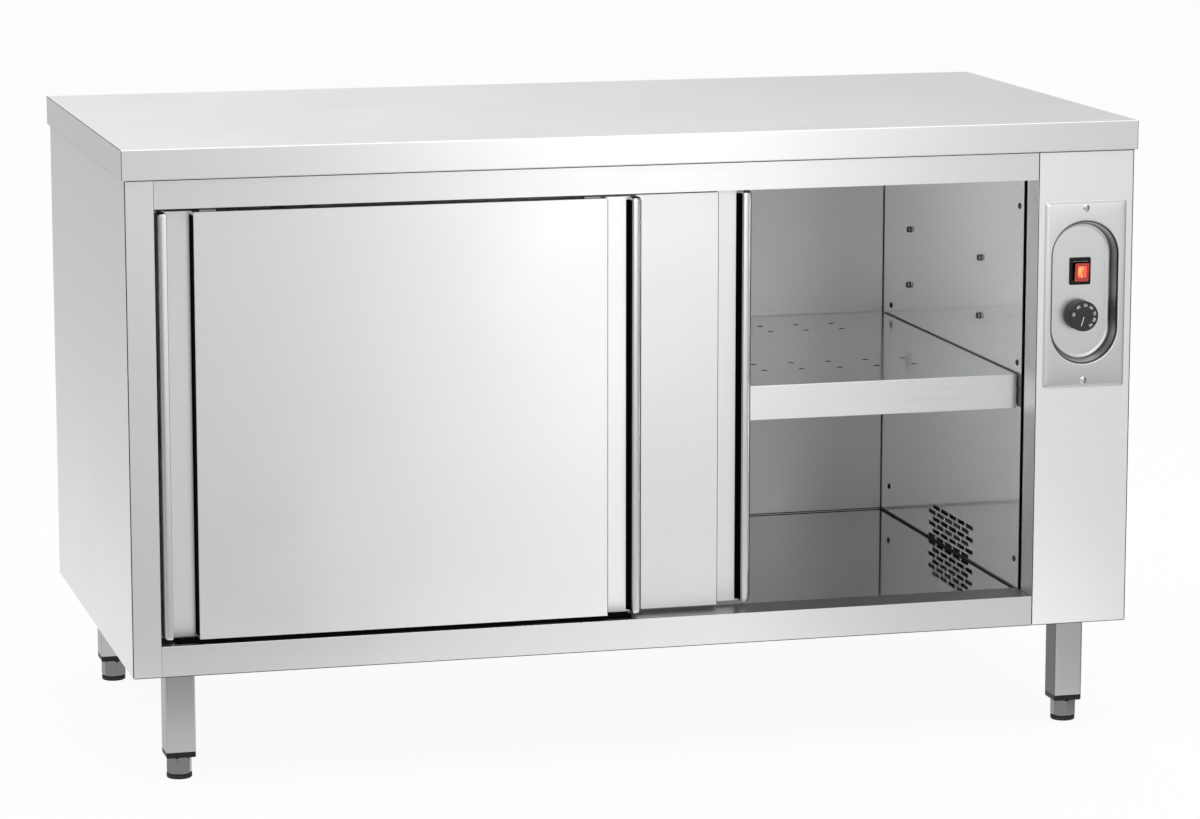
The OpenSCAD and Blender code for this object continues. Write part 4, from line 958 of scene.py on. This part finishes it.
def rocker_loop(inset, rise, centre=(0, 0), size=ROCKER_SIZE, radius=1.6, steps=5):
    """An outline laid on the rocker's face, raised by rise towards the finger."""
    flat = outline(size[0] - 2 * inset, size[1] - 2 * inset, max(0.3, radius - inset), steps) + centre
    return np.stack([flat[:, 0], rocker_face(flat[:, 1]) - rise, flat[:, 1]], 1)


def tip_rocker(points):
    """Turns points about the pivot's X axis by the rest tilt, and puts them in place."""
    c, s = np.cos(ROCKER_TIP), np.sin(ROCKER_TIP)
    return points @ np.array([[1, 0, 0], [0, c, s], [0, -s, c]]) + PIVOT


ease = arc_points(1.5, 5)
body_loops = [stand(outline(*ROCKER_SIZE, 1.6, 5), "XZ", y) for y in (2.0, -6.5)]
body_loops += [rocker_loop(d, -h) for d, h in ease]
body_loops += [rocker_loop(d, 0) for d in (2.2, 4, 6, 8, 9.5, 10.8)]
add_piece("rocker_cap", [loft(body_loops)], "rocker_plastic", "rocker", ["rocker"], moved=tip_rocker)

PRINT = 0.06
frame_band = [rocker_loop(d, rise)
              for d, rise in ((2.7, -0.02), (2.8, PRINT), (3.5, PRINT), (3.6, -0.02))]
rocker_line = moulded("dark_red_line", "#83423e", 0.4)
add_piece("rocker_frame_line", [loft(frame_band, closed=True)], rocker_line, "rocker", moved=tip_rocker)

ring = [rocker_loop(d, rise, (0, 5.6), (4.6, 4.6), 2.299, 7)
        for d, rise in ((0, -0.02), (0.05, PRINT), (0.7, PRINT), (0.75, -0.02))]
bar = [rocker_loop(d, rise, (0, -5.4), (1.0, 4.4), 0.49, 4) for d, rise in ((0, -0.02), (0.04, PRINT))]
mark_white = moulded("white_pad_print", "#f4efe6", 0.5)
add_piece("rocker_marks", [loft(ring, closed=True), loft(bar)], mark_white, "rocker", moved=tip_rocker)

# %% [markdown]
# ## Knob
#
# The thermostat's knob is a plain moulded disc with an eased edge. Its scale is printed near
# the rim, and a line from the middle is the pointer. The numbers are Blender's own letters,
# turned into meshes and carried to their angles on the knob's face.

# %% Knob
KNOB_MID = (627.0, 581.0)
KNOB_R = 21
KNOB_FACE = -347.5
levels = [(KNOB_R - 0.3, 19.2), (KNOB_R, 18.7)]
levels += [(KNOB_R - d, h) for d, h in arc_points(1.6, 6)]
levels += [(KNOB_R - 2.1, 0), (12, 0), (1, 0)]
loops = [stand(outline(2 * r, 2 * r, r - 0.0005, 18), "XZ", KNOB_FACE + depth, KNOB_MID)
         for r, depth in levels]
add_piece("knob_cap", [loft(loops)], "knob_plastic", "knob", ["knob"])

# %% Numbers and pointer
SCALE_MARKS = (("30", 169), ("40", 124), ("50", 84), ("60", 49), ("70", 15), ("80", -19), ("90", -51))
SCALE_R = 15.3
DIGIT_SIZE = 5.6
POINTER_ANGLE = -107
POINTER_SIZE = (13.5, 0.9)
POINTER_R = 7.2


def text_shell(word, angle_deg):
    """A word's faces, first centred, then turned upright to its radius and moved out along it."""
    curve = bpy.data.curves.new(word, "FONT")
    curve.body = word
    curve.size = DIGIT_SIZE
    curve.align_x = "CENTER"
    curve.align_y = "CENTER"
    curve.extrude = 0.04
    curve.resolution_u = 3
    carrier = link_object(word, curve)
    flat = bpy.data.meshes.new_from_object(carrier.evaluated_get(bpy.context.evaluated_depsgraph_get()))
    bpy.data.objects.remove(carrier)
    work = bmesh.new()
    work.from_mesh(flat)
    bmesh.ops.remove_doubles(work, verts=work.verts, dist=0.0001)
    bmesh.ops.recalc_face_normals(work, faces=work.faces)
    work.to_mesh(flat)
    work.free()
    points = np.empty(3 * len(flat.vertices))
    flat.vertices.foreach_get("co", points)
    points = points.reshape(-1, 3)
    a = math.radians(angle_deg)
    b = a - np.pi / 2
    x = np.cos(b) * points[:, 0] - np.sin(b) * points[:, 1] + SCALE_R * np.cos(a)
    z = np.sin(b) * points[:, 0] + np.cos(b) * points[:, 1] + SCALE_R * np.sin(a)
    placed = np.stack([KNOB_MID[0] + x, KNOB_FACE - points[:, 2], KNOB_MID[1] + z], 1)
    return placed, np.empty((0, 4), int), [np.array(face.vertices) for face in flat.polygons]


a = math.radians(POINTER_ANGLE)
stroke = outline(*POINTER_SIZE, 0.44, 4) + (POINTER_R, 0)
stroke = stroke @ np.array([(np.cos(a), np.sin(a)), (-np.sin(a), np.cos(a))])
pointer = loft([stand(stroke, "XZ", KNOB_FACE + d, KNOB_MID) for d in (0.04, -0.04)])
add_piece("knob_scale", [text_shell(*mark) for mark in SCALE_MARKS] + [pointer], mark_white, "knob")

# %% [markdown]
# ## Legs and feet
#
# The legs are square tube, whose corners are rounded where the strip was rolled. Below each
# stands a black insert with a chamfer, and in it a foot: a hexagonal cup, whose corners were
# chamfered on a lathe, on a threaded stem that shows when the foot is screwed out.

# %% Legs
LEGS = {"front_left": (-628, -290, 12), "front_right": (628, -290, 28),
        "rear_left": (-628, 290, 40), "rear_right": (628, 290, 5)}
# Each part is a list of a square's width, its corner radius, and its height above the floor
TUBE = ((40, 2.6, 38), (40, 2.6, 153.5))
WELD_BEAD = ((40.3, 2.6, 149.2), (41.6, 3.2, 150.2), (43.4, 4, 150.9))
TOP_PLATE = ((56, 1, 152.6), (56, 1, 155.5))
INSERT = ((36, 1.5, 30), (38.4, 2, 30.2), (39.8, 2.6, 31.4), (39.8, 2.6, 37.9))


def square_loft(levels, middle):
    """Rounded squares at their heights, joined into one shell."""
    return loft([stand(outline(w, w, r, 5, 0.5), "XY", z, middle) for w, r, z in levels])


tubes = [square_loft(part, at[:2]) for at in LEGS.values() for part in (TUBE, WELD_BEAD, TOP_PLATE)]
inserts = [square_loft(INSERT, at[:2]) for at in LEGS.values()]
add_piece("leg_tubes_rounded", tubes, "leg_steel", "cabinet", ["leg_tubes"])
add_piece("leg_inserts_eased", inserts, "black_plastic", "cabinet", ["leg_inserts"])

# %% Feet
CUP_FLATS = 31
CUP_Z = (6, 30)
STEM_R = 5
STEM_TOP = 92
THREAD_PITCH = 1.5


def cup_shell(x, y, turn_deg):
    """A hexagon's radius is half its flats over cos of the angle from the nearest flat's middle;
    near both ends it may not pass a cone, which gives the curved chamfer."""
    a = np.linspace(0, 2 * np.pi, 96, endpoint=False)
    nearest = (a - math.radians(turn_deg)) % (np.pi / 3) - np.pi / 6
    hexagon = CUP_FLATS / 2 / np.cos(nearest)
    z = np.array([0, 0.5, 1, 1.5, 2, 22, 22.5, 23, 23.5, 24])
    limit = CUP_FLATS / 2 + np.minimum(np.minimum(z, 24 - z) * 1.3, 3) - 0.2
    loops = [stand(np.minimum(hexagon, top)[:, None] * np.stack([np.cos(a), np.sin(a)], 1), "XY",
                   CUP_Z[0] + level, (x, y)) for level, top in zip(z, limit)]
    return loft(loops)


def stem_shell(x, y):
    """The thread is a wave in height, shifted by the angle so that it climbs one pitch a turn."""
    a = np.linspace(0, 2 * np.pi, 24, endpoint=False)
    levels = np.arange(CUP_Z[1] - 1, STEM_TOP, THREAD_PITCH / 4)
    phase = 2 * np.pi * levels[:, None] / THREAD_PITCH - a[None, :]
    r = STEM_R - 0.4 + 0.4 * np.cos(phase)
    loops = [stand(row[:, None] * np.stack([np.cos(a), np.sin(a)], 1), "XY", z, (x, y))
             for row, z in zip(r, levels)]
    return loft(loops)


turned_steel = stainless("turned_cup", "#7b7d7e", 0.22, grain="Z", depth=0.03, drawn=0.3)
for place, (x, y, turn_deg) in LEGS.items():
    add_piece("foot_cup_" + place, [cup_shell(x, y, turn_deg), stem_shell(x, y)], turned_steel,
              "foot_" + place, ["foot_" + place])

# %% [markdown]
# ## Room
#
# Metal shows the room, so the room is built for it. The floor is pale, and mixed with even
# light for the camera and for reflections, so that it reads white while the cupboard's shadow
# still lies on it. For mirror rays the floor and the walls have darker and brighter fields,
# which give each steel face its own shade. The camera itself sees a plain white room. A tall
# soft light to the right of the camera and a wide one overhead light the cupboard, and two small
# ones hang behind the closed door, where they stand for light thrown back by the lining.

# %% Floor
FLOOR_HALF = 60
SHARE = 0.93
# Pools of light that the fronts and the bars mirror: middle, outer and inner radius, gain
FLOOR_POOLS = (((-1.3, -5.2, 0), 2.4, 1.0, 0.6), ((2.7, -4.6, 0), 1.6, 0.5, 0.58))


def floor_material():
    """Plain white paint, mixed with even light where a camera or mirror ray meets it. The camera
    sees it plain white; a mirror ray sees the fitted fields of the studio floor."""
    material, tree = new_material("pale_floor")
    painted = add(tree, "BsdfDiffuse", {"Color": "#f2f2f2"})
    spot = add(tree, "TexCoord").outputs["Object"]
    foot = add(tree, "VectorMath", {0: spot, 1: (*CAMERA_AT[:2], 0)}, operation="DISTANCE")
    far = add(tree, "MapRange", {0: foot, 1: 2.5, 2: 4.4, 3: 0.65, 4: 0.34}, **SMOOTH)
    seen_part = add(tree, "MapRange", {0: foot, 1: 5.1, 2: 5.5}, **SMOOTH)
    front = add(tree, "Math", {0: far, 1: seen_part}, operation="MAXIMUM")
    left = along(material, "Object", "X", -2.0, -0.85, 0.45, **SMOOTH)
    level = add(tree, "Math", {0: front, 1: left}, operation="MULTIPLY")
    for middle, outer, inner, gain in FLOOR_POOLS:
        away = add(tree, "VectorMath", {0: spot, 1: middle}, operation="DISTANCE")
        pool = add(tree, "MapRange", {0: away, 1: outer, 2: inner, 4: gain}, **SMOOTH)
        level = add(tree, "Math", {0: level, 1: pool})
    turned = add(tree, "VectorMath", {0: spot, 1: (0.84, 1, 0)}, operation="DOT_PRODUCT")
    beside = add(tree, "MapRange", {0: turned, 1: -0.4, 2: 0.4, 4: 0.9}, **SMOOTH)
    right = along(material, "Object", "X", 0.6, 1.0, **SMOOTH)
    dim = add(tree, "Math", {0: beside, 1: right}, operation="MULTIPLY")
    keep = add(tree, "Math", {0: 1.0, 1: dim}, operation="SUBTRACT")
    level = add(tree, "Math", {0: level, 1: keep}, operation="MULTIPLY")
    path = add(tree, "LightPath")
    seen = path.outputs["Is Camera Ray"]
    plain = add(tree, "Mix", {0: seen, 2: level, 3: 1.0}, data_type="FLOAT")
    glow = add(tree, "Emission", {"Color": "#ffffff", "Strength": plain})
    for ray in ("Is Glossy Ray", "Is Transmission Ray"):
        seen = add(tree, "Math", {0: seen, 1: path.outputs[ray]}, operation="MAXIMUM")
    share = add(tree, "Math", {0: seen, 1: SHARE}, operation="MULTIPLY")
    finish_material(tree, add(tree, "MixShader", {0: share, 1: painted, 2: glow}))
    return material


mesh = bpy.data.meshes.new("floor")
mesh.from_pydata((FLOOR_HALF * np.array([[-1, -1, 0], [1, -1, 0], [1, 1, 0], [-1, 1, 0]])).tolist(), [],
                 [(0, 1, 2, 3)])
floor = link_object("floor", mesh)
mesh.materials.append(floor_material())

# %% World
world = bpy.data.worlds.new("studio")
scene.world = world
world.use_nodes = True
room = world.node_tree
room.nodes.clear()
direction = add(room, "TexCoord").outputs["Generated"]
# Soft fields on the studio's walls: azimuth, elevation, inner and outer angle, level
FIELDS = ((-18, 8, 5, 20, 1.0), (180, 12, 5, 40, 0.98), (155, 10, 9, 27, 0.24), (-100, 10, 20, 60, 0.95),
          (-50, 10, 25, 42, 0.95), (31, 5, 8, 13, 1.0), (90, 10, 35, 48, 0.06))


def toward(azimuth_deg, elevation_deg):
    """The unit vector at an angle to the right of straight ahead of the doors, and above level."""
    a, e = math.radians(azimuth_deg), math.radians(elevation_deg)
    return (math.sin(a) * math.cos(e), -math.cos(a) * math.cos(e), math.sin(e))


height = add(room, "SeparateXYZ", {0: direction}).outputs["Z"]
level = add(room, "MapRange", {0: height, 1: 0.0, 2: 0.8, 3: 0.42, 4: 0.9}, **SMOOTH)
for azimuth, elevation, inner, outer, value in FIELDS:
    near = add(room, "VectorMath", {0: direction, 1: toward(azimuth, elevation)}, operation="DOT_PRODUCT")
    edges = [math.cos(math.radians(angle)) for angle in (outer, inner)]
    field = add(room, "MapRange", {0: near, 1: edges[0], 2: edges[1]}, **SMOOTH)
    level = add(room, "Mix", {0: field, 2: level, 3: value}, data_type="FLOAT")
straight = add(room, "LightPath").outputs["Is Camera Ray"]
level = add(room, "Mix", {0: straight, 2: level, 3: 1.0}, data_type="FLOAT")
sky = add(room, "Background", {"Color": "#fbfcfd", "Strength": level})
add(room, "OutputWorld", {"Surface": sky})
print(len(FIELDS), "fields on the studio's walls")


# %% Lamps
def soft_box(name, at, aim, width, height_m, power):
    """A rectangular lamp at a point, turned to face another point."""
    light = bpy.data.lights.new(name, "AREA")
    light.shape = "RECTANGLE"
    light.size = width
    light.size_y = height_m
    light.energy = power
    lamp = link_object(name, light)
    lamp.location = at
    lamp.rotation_euler = (Vector(aim) - Vector(at)).to_track_quat("-Z", "Y").to_euler()


soft_box("overhead_light", (0.5, -0.5, 4.2), (0, 0, 0.4), 5, 4, 90)
soft_box("tall_light", (1.6, -6.3, 1.3), (0, -0.3, 0.6), 0.9, 2.6, 24)
soft_box("upper_inside_light", (0.06, -0.23, 0.635), (0.5, 0.0, 0.63), 0.1, 0.2, 0.95)
soft_box("lower_inside_light", (0.06, -0.23, 0.32), (0.5, 0.0, 0.32), 0.1, 0.2, 0.66)
